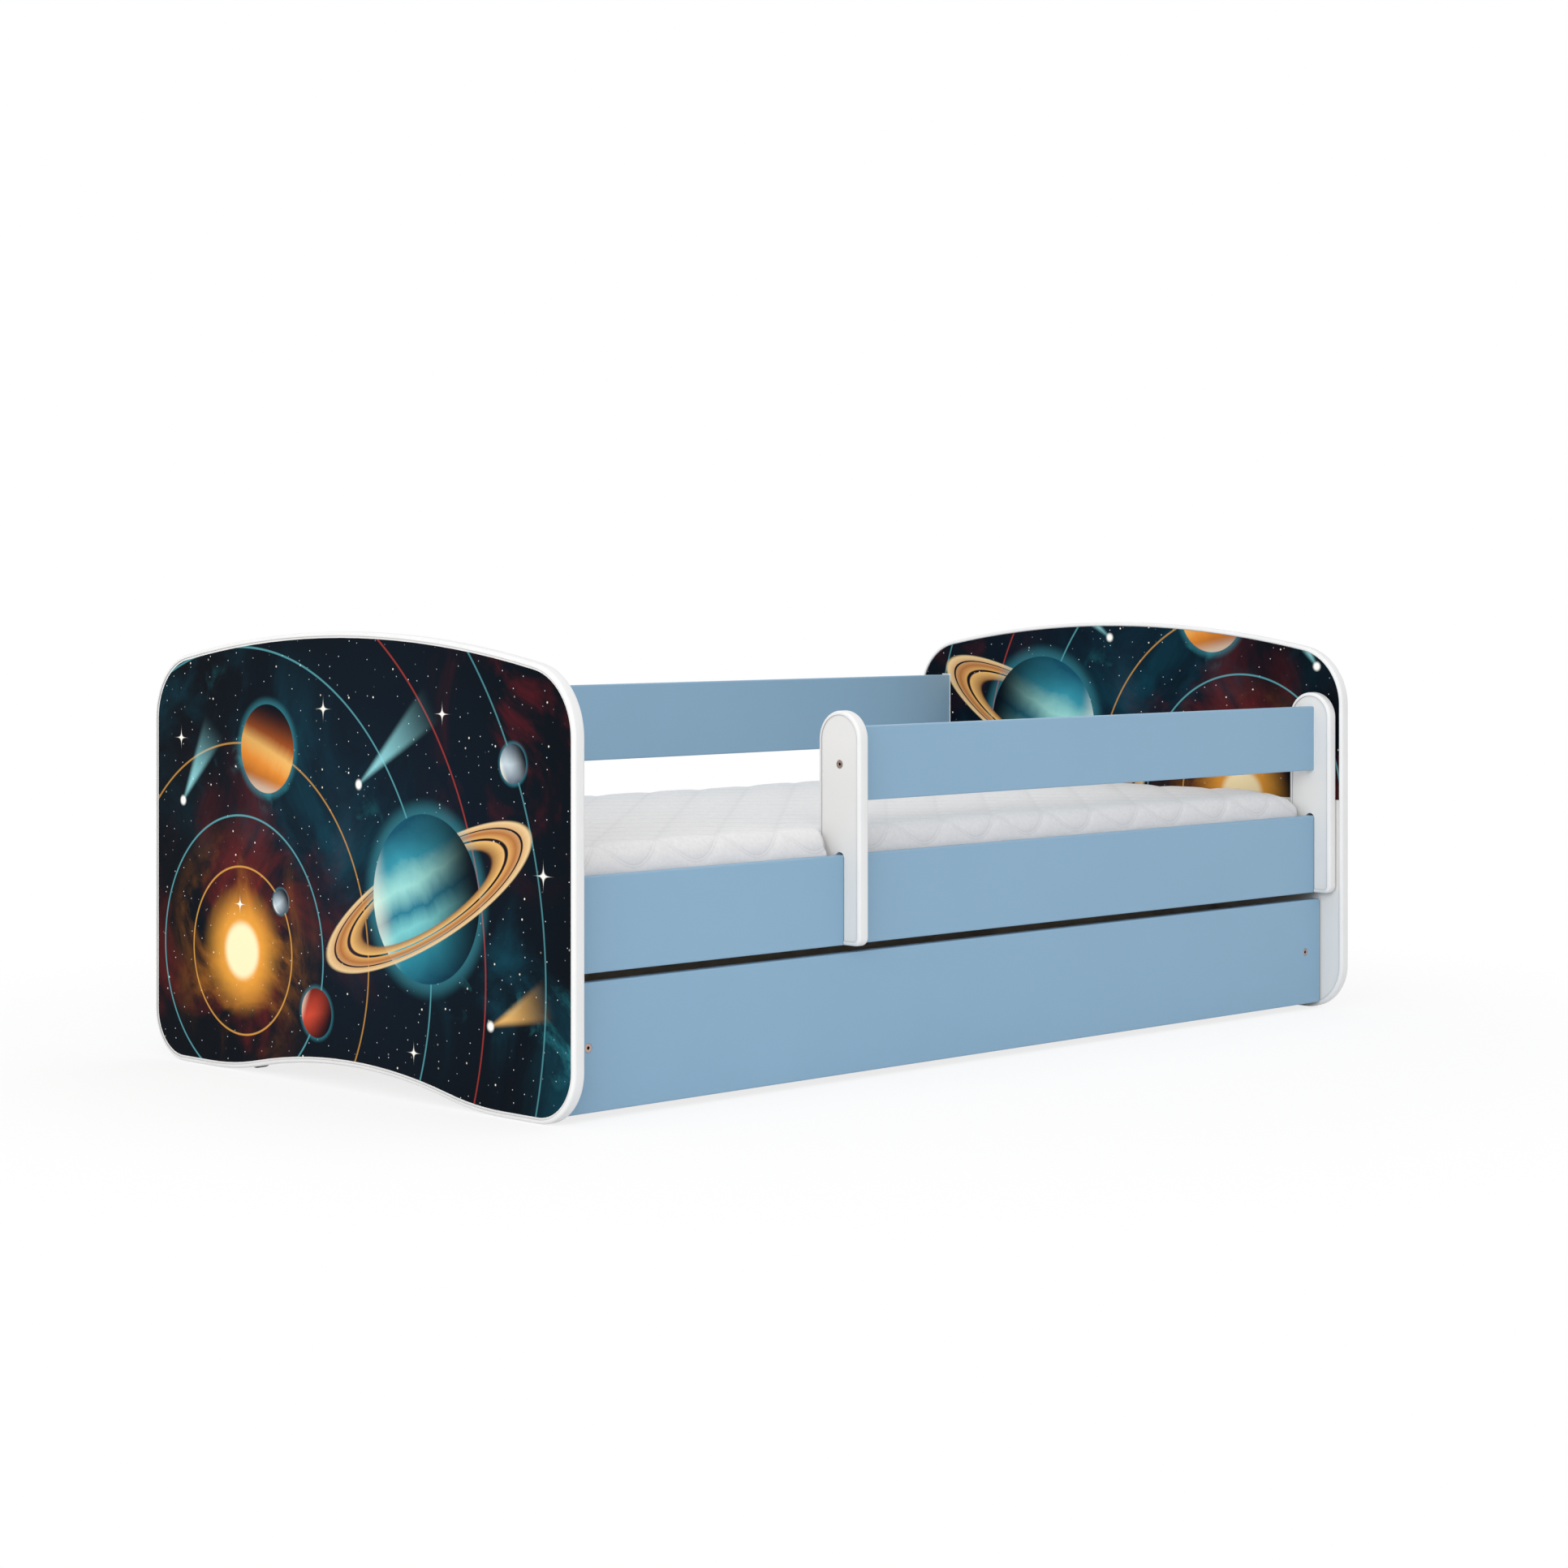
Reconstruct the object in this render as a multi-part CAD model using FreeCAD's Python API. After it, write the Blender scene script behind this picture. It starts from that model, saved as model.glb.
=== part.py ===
import FreeCAD, Part
import math
import os

from FreeCAD import Placement, Rotation, Vector

# A child's bed: two arched end boards joined by side panels, a slatted base with a quilted mattress,
# a guard that hooks over the front side panel, and a long drawer that rolls out on its own wheels.
# X runs along the bed towards the head board, the drawer opens towards -Y, and Z is up from the floor.
# The origin is on the floor, in the middle of the bed. All sizes are in millimetres.

# Mattress
mattress_length = 1600.0
mattress_width = 800.0
mattress_thickness = 100.0
mattress_end_room = 2.5
mattress_side_room = 1.6
mattress_seat_gap = 0.3
mattress_crown = 6.0
mattress_edge_round = 28.0
mattress_round_steps = 2
mattress_foot_round = 9.0
mattress_side_pull = 3.0
quilt_period = 100.0
quilt_depth = 4.0
dent_room = 4.0
dent_flare = 26.0

# Boards and panels
board_thickness = 16.0
panel_round = 2.0
round_steps = 2
fit_gap = 0.05
cut_overrun = 5.0

# End boards
front_setback = 42.5
back_setback = 55.3
board_rise = 97.0
crown_radius = 2100.0
shoulder_radius = 96.0
heel_radius = 72.0
arch_span_share = 0.824
arch_rise = 32.0
arch_apex_share = 0.65

# Soft edging that grips the rim of the end boards and the guard posts
edging_lip = 1.5
edging_crest = 3.0
edging_reach = 6.0
edging_round = 4.5
edging_round_steps = 2

# Printed film on the foot board's outer face and the head board's inner face
film_thickness = 0.3
foot_film_margin = 2.5
head_film_margin = 0.5
head_film_low = 338.0
film_window_margin = 2.0

# Side panels and back rail
side_panel_height = 124.0
back_rail_gap = 90.0
back_rail_height = 122.0

# Slatted base
slat_count = 12
slat_width = 70.0
slat_thickness = 18.0
slat_end_room = 3.0
slat_round = 3.0
slat_drop = 62.0
batten_width = 20.0
batten_height = 30.0
batten_end_room = 12.0
tape_width = 25.0
tape_thickness = 1.0
tape_setback = 110.0
batten_screw_count = 5
batten_screw_radius = 2.0
batten_screw_head_radius = 4.0
batten_screw_length = 30.0

# Eccentric fittings and dowels between panels and end boards
fastener_sides = 6
fitting_sides = 12
fitting_bite = 11.0
cam_setback = 34.0
cam_radius = 7.5
cam_depth = 12.5
cam_bolt_radius = 3.0
cam_edge_distance = 32.0
cam_batten_clearance = 18.0
dowel_radius = 4.0
dowel_length = 33.0

# Socket screws through one board into the end of the next
screw_length = 50.0
screw_head_radius = 6.25
screw_head_height = 1.6
screw_shank_radius = 3.5
screw_socket_flats = 4.0
screw_socket_depth = 3.0

# Guard
guard_rail_length = 1064.0
guard_rail_height = 103.0
guard_gap = 73.5
guard_end_room = 3.4
post_width = 80.0
post_rise = 22.5
post_heel_radius = 12.0
post_slot_room = 1.0
post_seat_gap = 0.3
post_rear_leg_gap = 6.0
guard_dowel_spread = 64.0

# Drawer
drawer_front_height = 167.0
drawer_floor_gap = 10.0
drawer_top_gap = 11.0
drawer_front_room = 4.5
drawer_side_room = 34.5
drawer_box_depth = 700.0
drawer_box_height = 120.0
drawer_bottom_thickness = 3.0
drawer_bottom_rise = 17.0
drawer_groove_depth = 7.0
drawer_groove_room = 0.15
drawer_groove_end_room = 1.0
brace_width = 80.0
brace_dowel_spread = 40.0
drawer_dowel_offset = 36.0

# Drawer wheels, one bracket and axle each
wheel_radius = 20.0
wheel_width = 16.0
wheel_floor_gap = 0.3
wheel_sides = 20
wheel_front_distance = 70.0
wheel_back_distance = 30.0
wheel_side_gap = 1.0
wheel_rim_width = 4.0
wheel_web_recess = 4.0
axle_radius = 3.0
axle_running_gap = 0.08
axle_head_radius = 5.0
axle_head_height = 2.5
axle_end_gap = 0.3
bracket_thickness = 3.0
bracket_width = 44.0
bracket_plate_height = 34.0
bracket_plate_rise = 3.0
bracket_toe_radius = 11.0
bracket_toe_steps = 6
bracket_chamfer = 6.0
bracket_screw_spread = 26.0
bracket_screw_drop = 9.0
bracket_screw_radius = 2.0
bracket_screw_head_radius = 4.0
bracket_screw_head_height = 2.2
bracket_screw_bite = 13.0

# Places that follow from the sizes above
inner_x = mattress_length / 2 + mattress_end_room
inner_width = mattress_width + 2 * mattress_side_room
board_width = front_setback + inner_width + 2 * board_thickness + back_setback
front_out_y = front_setback - board_width / 2
front_in_y = front_out_y + board_thickness
front_mid_y = front_out_y + board_thickness / 2
back_in_y = front_in_y + inner_width
back_mid_y = back_in_y + board_thickness / 2
side_panel_low = drawer_floor_gap + drawer_front_height + drawer_top_gap
side_panel_top = side_panel_low + side_panel_height
slat_top_height = side_panel_top - slat_drop
back_rail_low = side_panel_top + back_rail_gap
board_height = back_rail_low + back_rail_height + board_rise
arch_half_span = arch_span_share * (board_width / 2 - heel_radius)
guard_rail_low = side_panel_top + guard_gap
guard_rail_mid = guard_rail_low + guard_rail_height / 2
guard_right_x = inner_x - guard_end_room - board_thickness
guard_left_x = guard_right_x - guard_rail_length
post_top = guard_rail_low + guard_rail_height + post_rise
slat_low = slat_top_height - slat_thickness
batten_low = slat_low - batten_height
mattress_base = slat_top_height + mattress_seat_gap
drawer_side_out = inner_x - drawer_side_room
drawer_side_in = drawer_side_out - board_thickness
drawer_screw_x = drawer_side_out - board_thickness / 2
drawer_mid_z = drawer_floor_gap + drawer_front_height / 2
drawer_box_low = drawer_mid_z - drawer_box_height / 2
drawer_back_y = front_in_y + drawer_box_depth - board_thickness
drawer_bottom_low = drawer_box_low + drawer_bottom_rise


# Shapes that many pieces share

def box(low, high):
    """Block between two corners, given as (x, y, z)."""
    size = [b - a for a, b in zip(low, high)]
    return Part.makeBox(*size, Vector(*low))


def corner_arc(centre, radius, first):
    """Points of a rounded corner: a quarter turn in round_steps facets, from the angle first on."""
    angles = [first + math.pi / 2 * k / round_steps for k in range(round_steps + 1)]
    return [(centre[0] + radius * math.cos(a), centre[1] + radius * math.sin(a)) for a in angles]


def rounded_box(low, high, radius):
    """Block whose four edges along X are rounded."""
    low_y, low_z = low[1] + radius, low[2] + radius
    high_y, high_z = high[1] - radius, high[2] - radius
    outline = corner_arc((high_y, high_z), radius, 0) + corner_arc((low_y, high_z), radius, math.pi / 2)
    outline += corner_arc((low_y, low_z), radius, math.pi) + corner_arc((high_y, low_z), radius, 3 * math.pi / 2)
    points = [Vector(0, y, z) for y, z in outline]
    return plate(Part.makePolygon(points + points[:1]), low[0], high[0])


def faceted(profile, start, direction, sides):
    """Piece or bore that is many-sided in section, from (radius, distance) points along its length."""
    turns = [2 * math.pi * k / sides for k in range(sides + 1)]
    rings = []
    for radius, distance in profile:
        points = [Vector(radius * math.cos(t), radius * math.sin(t), distance) for t in turns]
        rings.append(Part.makePolygon(points))
    solid = Part.makeLoft(rings, True, True)
    solid.Placement = Placement(Vector(*start), Rotation(Vector(0, 0, 1), Vector(*direction)))
    return solid


def pin(start, direction, radius, length, sides=fastener_sides):
    """Plain many-sided piece or bore from a start point along a direction."""
    return faceted([(radius, 0), (radius, length)], start, direction, sides)


def arc_yz(centre, radius, start, end):
    """Arc in the YZ plane, its angles in radians from +Y towards +Z."""
    angles = (start, (start + end) / 2, end)
    points = [Vector(0, centre[0] + radius * math.cos(a), centre[1] + radius * math.sin(a)) for a in angles]
    return Part.Arc(*points).toShape()


def line_yz(start, end):
    """Straight edge in the YZ plane between two (y, z) points."""
    return Part.makeLine(Vector(0, *start), Vector(0, *end))


def plate(wire, low_x, high_x):
    """Flat plate: an outline in the YZ plane given a thickness along X."""
    face = Part.Face(wire)
    face.translate(Vector(low_x, 0, 0))
    return face.extrude(Vector(high_x - low_x, 0, 0))


def edged_panel(outline, low_x, high_x):
    """A board and the soft edging that grips its rim, as two solids.

    The edging is a U in section: a crest over the board's edge and a thin lip over each face.
    """
    core = plate(outline(edging_crest), low_x, high_x)
    turns = [math.pi / 2 * k / edging_round_steps for k in range(edging_round_steps + 1)]
    rounding = [(edging_round * (1 - math.cos(t)), edging_round * (1 - math.sin(t))) for t in turns]
    sections = [(low_x - edging_lip + depth, inset) for depth, inset in rounding]
    sections += [(high_x + edging_lip - depth, inset) for depth, inset in reversed(rounding)]
    rings = []
    for x, inset in sections:
        ring = outline(inset)
        ring.translate(Vector(x, 0, 0))
        rings.append(ring)
    slab = Part.makeLoft(rings, True, True)
    window = plate(outline(edging_reach), low_x - edging_lip - cut_overrun, high_x + edging_lip + cut_overrun)
    return core, slab.cut(core).cut(window)


# Fasteners

def socket_screw(start, direction, grown=0):
    """Furniture screw with a flat socket head, its head's face at start. Grown, it is its own hole."""
    screw = pin(start, direction, screw_head_radius + grown, screw_head_height + grown, fitting_sides)
    screw = screw.fuse(pin(start, direction, screw_shank_radius + grown, screw_length))
    if grown:
        return screw
    corner = screw_socket_flats / math.sqrt(3)
    turns = [math.radians(60 * k) for k in range(7)]
    hexagon = Part.Face(Part.makePolygon([Vector(corner * math.cos(t), corner * math.sin(t), 0) for t in turns]))
    socket = hexagon.extrude(Vector(0, 0, screw_socket_depth))
    socket.Placement = Placement(Vector(*start), Rotation(Vector(0, 0, 1), Vector(*direction)))
    return screw.cut(socket).removeSplitter()


def dowel(joint, direction, bite, grown=0):
    """Wooden dowel across a joint: it reaches bite deep on the side that direction points to."""
    start = Vector(*joint) - Vector(*direction) * (dowel_length - bite)
    return pin(start, direction, dowel_radius + grown, dowel_length)


def cam_bolt(joint, direction, grown=0):
    """Bolt of an eccentric fitting: it bites into the end board and its head ends in the disc."""
    start = Vector(*joint) + Vector(*direction) * fitting_bite
    return pin(start, Vector(*direction) * -1, cam_bolt_radius + grown, fitting_bite + cam_setback)


def cam_disc(joint, direction, facing, grown=0):
    """Disc of an eccentric fitting, let into one face of its panel, with a bore for the bolt's head."""
    centre_x = joint[0] - direction[0] * cam_setback
    face_y = joint[1] + facing * board_thickness / 2
    disc = pin((centre_x, face_y, joint[2]), (0, -facing, 0), cam_radius + grown, cam_depth, fitting_sides)
    return disc if grown else disc.cut(cam_bolt(joint, direction, fit_gap))


# End boards

def end_board_outline(inset):
    """Outline of an end board in the YZ plane, drawn in by inset all round.

    A shallow crown, wide shoulders, upright sides, round heels, and an arch between the two feet.
    """
    half = board_width / 2
    crown_z = board_height - crown_radius
    shoulder_y = half - shoulder_radius
    shoulder_z = crown_z + math.sqrt((crown_radius - shoulder_radius) ** 2 - shoulder_y ** 2)
    lean = math.atan2(shoulder_z - crown_z, shoulder_y)
    heel_y = half - heel_radius
    apex_reach = arch_half_span * arch_apex_share
    apex_drop = arch_rise * arch_apex_share
    apex_radius = (apex_reach ** 2 + apex_drop ** 2) / (2 * apex_drop)
    foot_reach = arch_half_span - apex_reach
    foot_rise = arch_rise - apex_drop
    foot_radius = (foot_reach ** 2 + foot_rise ** 2) / (2 * foot_rise)
    swing = 2 * math.atan2(arch_rise, arch_half_span)
    right, up, left, down = 0, math.pi / 2, math.pi, 3 * math.pi / 2
    edges = [
        line_yz((arch_half_span, inset), (heel_y, inset)),
        arc_yz((heel_y, heel_radius), heel_radius - inset, -up, right),
        line_yz((half - inset, heel_radius), (half - inset, shoulder_z)),
        arc_yz((shoulder_y, shoulder_z), shoulder_radius - inset, right, lean),
        arc_yz((0, crown_z), crown_radius - inset, lean, left - lean),
        arc_yz((-shoulder_y, shoulder_z), shoulder_radius - inset, left - lean, left),
        line_yz((inset - half, shoulder_z), (inset - half, heel_radius)),
        arc_yz((-heel_y, heel_radius), heel_radius - inset, left, down),
        line_yz((-heel_y, inset), (-arch_half_span, inset)),
        arc_yz((-arch_half_span, foot_radius), foot_radius - inset, down, down + swing),
        arc_yz((0, arch_rise - apex_radius), apex_radius + inset, up + swing, up - swing),
        arc_yz((arch_half_span, foot_radius), foot_radius - inset, down - swing, down),
    ]
    return Part.Wire(edges)


def end_board_films():
    """Printed films: the foot board's whole outer face, and the head board's inner face above the mattress.

    The head board's film has a window where the back rail meets the board.
    """
    outer_x = -inner_x - board_thickness
    foot = plate(end_board_outline(edging_reach + foot_film_margin), outer_x - film_thickness, outer_x)
    head = plate(end_board_outline(edging_reach + head_film_margin), inner_x - film_thickness, inner_x)
    below = box((0, -board_width, 0), (2 * inner_x, board_width, head_film_low))
    margin = film_window_margin
    window = box((0, back_in_y - margin, back_rail_low - margin),
                 (2 * inner_x, back_in_y + board_thickness + margin, back_rail_low + back_rail_height + margin))
    return foot, head.cut(below).cut(window)


# Panels between the end boards

def panel_fittings(mid_y, low_cam, high_cam):
    """Joints of one panel: for each end, two eccentric fittings and a dowel halfway between them."""
    cams = []
    dowels = []
    for end in (-1, 1):
        outward = (end, 0, 0)
        cams += [((end * inner_x, mid_y, z), outward) for z in (low_cam, high_cam)]
        dowels.append(((end * inner_x, mid_y, (low_cam + high_cam) / 2), outward))
    return cams, dowels


def fitted_panel(mid_y, low, height, facing, cams, dowels):
    """Panel with rounded long edges, bored for its fittings. Its discs are in the face that looks along facing."""
    half = board_thickness / 2
    panel = rounded_box((-inner_x, mid_y - half, low), (inner_x, mid_y + half, low + height), panel_round)
    bores = [cam_disc(joint, out, facing, fit_gap) for joint, out in cams]
    bores += [cam_bolt(joint, out, fit_gap) for joint, out in cams]
    bores += [dowel(joint, out, fitting_bite, fit_gap) for joint, out in dowels]
    return panel.cut(bores)


# Slatted base

def slat_battens():
    """Two battens on the inner faces of the side panels, and the screws that hold them."""
    reach = inner_x - batten_end_room
    mid_z = batten_low + batten_height / 2
    step = 2 * (reach - batten_height) / (batten_screw_count - 1)
    places = [batten_height - reach + step * k for k in range(batten_screw_count)]
    cone = batten_screw_head_radius - batten_screw_radius
    battens = []
    screws = []
    holes = []
    for wall_y, inward in ((front_in_y, 1), (back_in_y, -1)):
        face_y = wall_y + inward * batten_width
        low_y, high_y = sorted((wall_y, face_y))
        batten = box((-reach, low_y, batten_low), (reach, high_y, slat_low))
        for x in places:
            start, direction = (x, face_y, mid_z), (0, -inward, 0)
            profile = [(batten_screw_head_radius, 0), (batten_screw_radius, cone),
                       (batten_screw_radius, batten_screw_length)]
            grown = [(radius + fit_gap, depth) for radius, depth in profile]
            screws.append(faceted(profile, start, direction, fastener_sides))
            holes.append(faceted(grown, start, direction, fastener_sides))
        battens.append(batten.cut(holes))
    return battens[0], battens[1], screws, holes


def slats():
    """Softwood slats with rounded upper edges, evenly spaced, lying across the two battens."""
    pitch = (mattress_length - slat_width) / (slat_count - 1)
    low_y = front_in_y + slat_end_room
    high_y = back_in_y - slat_end_room
    boards = []
    for k in range(slat_count):
        low_x = -mattress_length / 2 + pitch * k
        high_x = low_x + slat_width
        shoulder_z = slat_top_height - slat_round
        outline = [(low_x, slat_low), (high_x, slat_low)]
        outline += corner_arc((high_x - slat_round, shoulder_z), slat_round, 0)
        outline += corner_arc((low_x + slat_round, shoulder_z), slat_round, math.pi / 2)
        points = [Vector(x, low_y, z) for x, z in outline]
        boards.append(Part.Face(Part.makePolygon(points + points[:1])).extrude(Vector(0, high_y - low_y, 0)))
    return boards


def slat_tape(mid_y):
    """Woven tape that runs under all the slats and keeps their spacing."""
    half = mattress_length / 2
    return box((-half, mid_y - tape_width / 2, slat_low - tape_thickness), (half, mid_y + tape_width / 2, slat_low))


# Guard

def post_outline(inset):
    """Outline of a guard post before its slot is cut: a round top and two round heels."""
    low_y = front_mid_y - post_width / 2 + inset
    high_y = front_mid_y + post_width / 2 - inset
    radius = post_width / 2
    spring = post_top - radius
    heel = post_heel_radius
    low_z = side_panel_low + inset
    edges = [
        line_yz((high_y, side_panel_low + heel), (high_y, spring)),
        arc_yz((front_mid_y, spring), radius - inset, 0, math.pi),
        line_yz((low_y, spring), (low_y, side_panel_low + heel)),
        arc_yz((low_y - inset + heel, side_panel_low + heel), heel - inset, math.pi, 3 * math.pi / 2),
        line_yz((low_y - inset + heel, low_z), (high_y + inset - heel, low_z)),
        arc_yz((high_y + inset - heel, side_panel_low + heel), heel - inset, -math.pi / 2, 0),
    ]
    return Part.Wire(edges)


def post_cuts(low_x, high_x):
    """What is sawn out of a post: the round-ended slot for the side panel, and the rear leg's lower end."""
    radius = board_thickness / 2 + post_slot_room
    corner = board_thickness / 2 - panel_round
    rise = panel_round + math.sqrt((radius - post_seat_gap - panel_round) ** 2 - corner ** 2)
    spring = side_panel_top - rise
    low_z = side_panel_low - cut_overrun
    slot = Part.Wire([
        line_yz((front_mid_y - radius, low_z), (front_mid_y + radius, low_z)),
        line_yz((front_mid_y + radius, low_z), (front_mid_y + radius, spring)),
        arc_yz((front_mid_y, spring), radius, 0, math.pi),
        line_yz((front_mid_y - radius, spring), (front_mid_y - radius, low_z)),
    ])
    low_x -= edging_lip + cut_overrun
    high_x += edging_lip + cut_overrun
    rear_leg = box((low_x, front_mid_y, low_z),
                   (high_x, front_mid_y + post_width, slat_top_height + post_rear_leg_gap))
    return plate(slot, low_x, high_x).fuse(rear_leg)


def guard_joints():
    """Joints of the rail with the posts: one screw from outside and two dowels at each end."""
    screws = []
    dowels = []
    for joint_x, outward in ((guard_left_x, -1), (guard_right_x, 1)):
        head = (joint_x + outward * board_thickness, front_mid_y, guard_rail_mid)
        screws.append((head, (-outward, 0, 0)))
        for offset in (-guard_dowel_spread / 2, guard_dowel_spread / 2):
            dowels.append(((joint_x, front_mid_y, guard_rail_mid + offset), (outward, 0, 0)))
    return screws, dowels


def guard_post(low_x, bores):
    """One post and its edging. The slot leaves the edging open between the two legs."""
    high_x = low_x + board_thickness
    core, edging = edged_panel(post_outline, low_x, high_x)
    cuts = post_cuts(low_x, high_x)
    return core.cut(cuts).cut(bores), edging.cut(cuts)


# Drawer

def drawer_joints():
    """Screws and dowels of the drawer box, as (point, direction) pairs."""
    screws = []
    dowels = []
    back_mid_of_drawer = drawer_back_y + board_thickness / 2
    dowel_z = drawer_mid_z + drawer_dowel_offset
    for end in (-1, 1):
        screws.append(((end * drawer_screw_x, front_out_y, drawer_mid_z), (0, 1, 0)))
        screws.append(((end * drawer_side_out, back_mid_of_drawer, drawer_mid_z), (-end, 0, 0)))
        dowels.append(((end * drawer_screw_x, front_in_y, dowel_z), (0, -1, 0)))
        dowels.append(((end * drawer_side_in, back_mid_of_drawer, dowel_z), (end, 0, 0)))
    brace_z = drawer_bottom_low - board_thickness / 2
    for x in (-brace_dowel_spread / 2, brace_dowel_spread / 2):
        dowels.append(((x, front_in_y, brace_z), (0, -1, 0)))
        dowels.append(((x, drawer_back_y, brace_z), (0, 1, 0)))
    return screws, dowels


def drawer_box(bores):
    """Front, two sides, back, bottom and brace. The bottom lies in a groove all round."""
    top = drawer_box_low + drawer_box_height
    end_y = drawer_back_y + board_thickness
    reach = drawer_groove_depth
    room = drawer_groove_room
    groove = box((-drawer_side_in - reach, front_in_y - reach, drawer_bottom_low - room),
                 (drawer_side_in + reach, drawer_back_y + reach, drawer_bottom_low + drawer_bottom_thickness + room))
    lip = reach - drawer_groove_end_room
    bottom = box((-drawer_side_in - lip, front_in_y - lip, drawer_bottom_low),
                 (drawer_side_in + lip, drawer_back_y + lip, drawer_bottom_low + drawer_bottom_thickness))
    front_x = inner_x - drawer_front_room
    front = rounded_box((-front_x, front_out_y, drawer_floor_gap),
                        (front_x, front_in_y, drawer_floor_gap + drawer_front_height), panel_round)
    left = box((-drawer_side_out, front_in_y, drawer_box_low), (-drawer_side_in, end_y, top))
    right = box((drawer_side_in, front_in_y, drawer_box_low), (drawer_side_out, end_y, top))
    back = box((-drawer_side_in, drawer_back_y, drawer_box_low), (drawer_side_in, end_y, top))
    brace = box((-brace_width / 2, front_in_y, drawer_bottom_low - board_thickness),
                (brace_width / 2, drawer_back_y, drawer_bottom_low))
    walls = [wall.cut([groove] + bores) for wall in (front, left, right, back)]
    return walls + [bottom, brace.cut(bores)]


def wheel_places():
    """Corner name, side (-1 or 1), and the middle of each wheel along Y."""
    near = front_in_y + wheel_front_distance
    far = drawer_back_y + board_thickness - wheel_back_distance
    return [("front_left", -1, near), ("front_right", 1, near), ("back_left", -1, far), ("back_right", 1, far)]


def wheel_unit(side, mid_y):
    """Bracket on the drawer side, wheel, axle and the bracket's two screws, with their holes in the side."""
    axle_z = wheel_floor_gap + wheel_radius
    wall = drawer_side_out
    half = bracket_width / 2
    plate_low = drawer_box_low + bracket_plate_rise
    plate_top = plate_low + bracket_plate_height
    toe = bracket_toe_radius
    drop = plate_low - axle_z
    right = math.atan2(drop, half) - math.acos(toe / math.hypot(half, drop))
    left = math.pi - right
    sweep = math.pi + 2 * right
    turns = [left + sweep * k / bracket_toe_steps for k in range(bracket_toe_steps + 1)]
    shoulder = plate_top - bracket_chamfer
    inset = half - bracket_chamfer
    outline = [(toe * math.cos(t), axle_z + toe * math.sin(t)) for t in turns]
    outline += [(half, plate_low), (half, shoulder), (inset, plate_top),
                (-inset, plate_top), (-half, shoulder), (-half, plate_low)]
    points = [Vector(0, mid_y + y, z) for y, z in outline]
    bracket = plate(Part.makePolygon(points + points[:1]), *sorted((side * wall, side * (wall + bracket_thickness))))
    out = (side, 0, 0)
    wheel_x = wall + bracket_thickness + wheel_side_gap
    web = wheel_width - wheel_web_recess
    shank = wheel_side_gap + web + axle_end_gap
    bracket_face = side * (wall + bracket_thickness)
    axle = pin((side * wall, mid_y, axle_z), out, axle_radius, bracket_thickness)
    axle = axle.fuse(pin((bracket_face, mid_y, axle_z), out, axle_radius, shank, fitting_sides))
    axle = axle.fuse(pin((bracket_face + side * shank, mid_y, axle_z), out, axle_head_radius, axle_head_height))
    hub = (side * wheel_x, mid_y, axle_z)
    wheel = pin(hub, out, wheel_radius, wheel_width, wheel_sides)
    rim_face = (side * (wheel_x + web), mid_y, axle_z)
    hollow = pin(rim_face, out, wheel_radius - wheel_rim_width, wheel_web_recess + cut_overrun, wheel_sides)
    bore_radius = (axle_radius + axle_running_gap) / math.cos(math.pi / fitting_sides)
    bore = pin(hub, out, bore_radius, wheel_width, fitting_sides)
    wheel = wheel.cut([hollow, bore])
    screws = []
    holes = [pin((side * wall, mid_y, axle_z), out, axle_radius + fit_gap, bracket_thickness)]
    head = bracket_screw_head_height
    length = head + bracket_thickness + bracket_screw_bite
    head_x = side * (wall + bracket_thickness + head)
    for offset in (-bracket_screw_spread / 2, bracket_screw_spread / 2):
        start = (head_x, mid_y + offset, plate_top - bracket_screw_drop)
        inward = (-side, 0, 0)
        screw_head = pin(start, inward, bracket_screw_head_radius, head)
        screws.append(screw_head.fuse(pin(start, inward, bracket_screw_radius, length)).removeSplitter())
        holes.append(pin(start, inward, bracket_screw_radius + fit_gap, length))
    return bracket.cut(holes), wheel, axle, screws, holes


# Mattress

def mattress_height(x, y, low):
    """Height of the quilted top: a crown over the whole, drawn down at the stitch line crossings."""
    across = 1 - (2 * y / mattress_width) ** 2
    along = 1 - (2 * x / mattress_length) ** 2
    edge = mattress_base + mattress_thickness - mattress_crown
    return edge + mattress_crown * math.sqrt(max(across * along, 0)) - (quilt_depth if low else 0)


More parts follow.
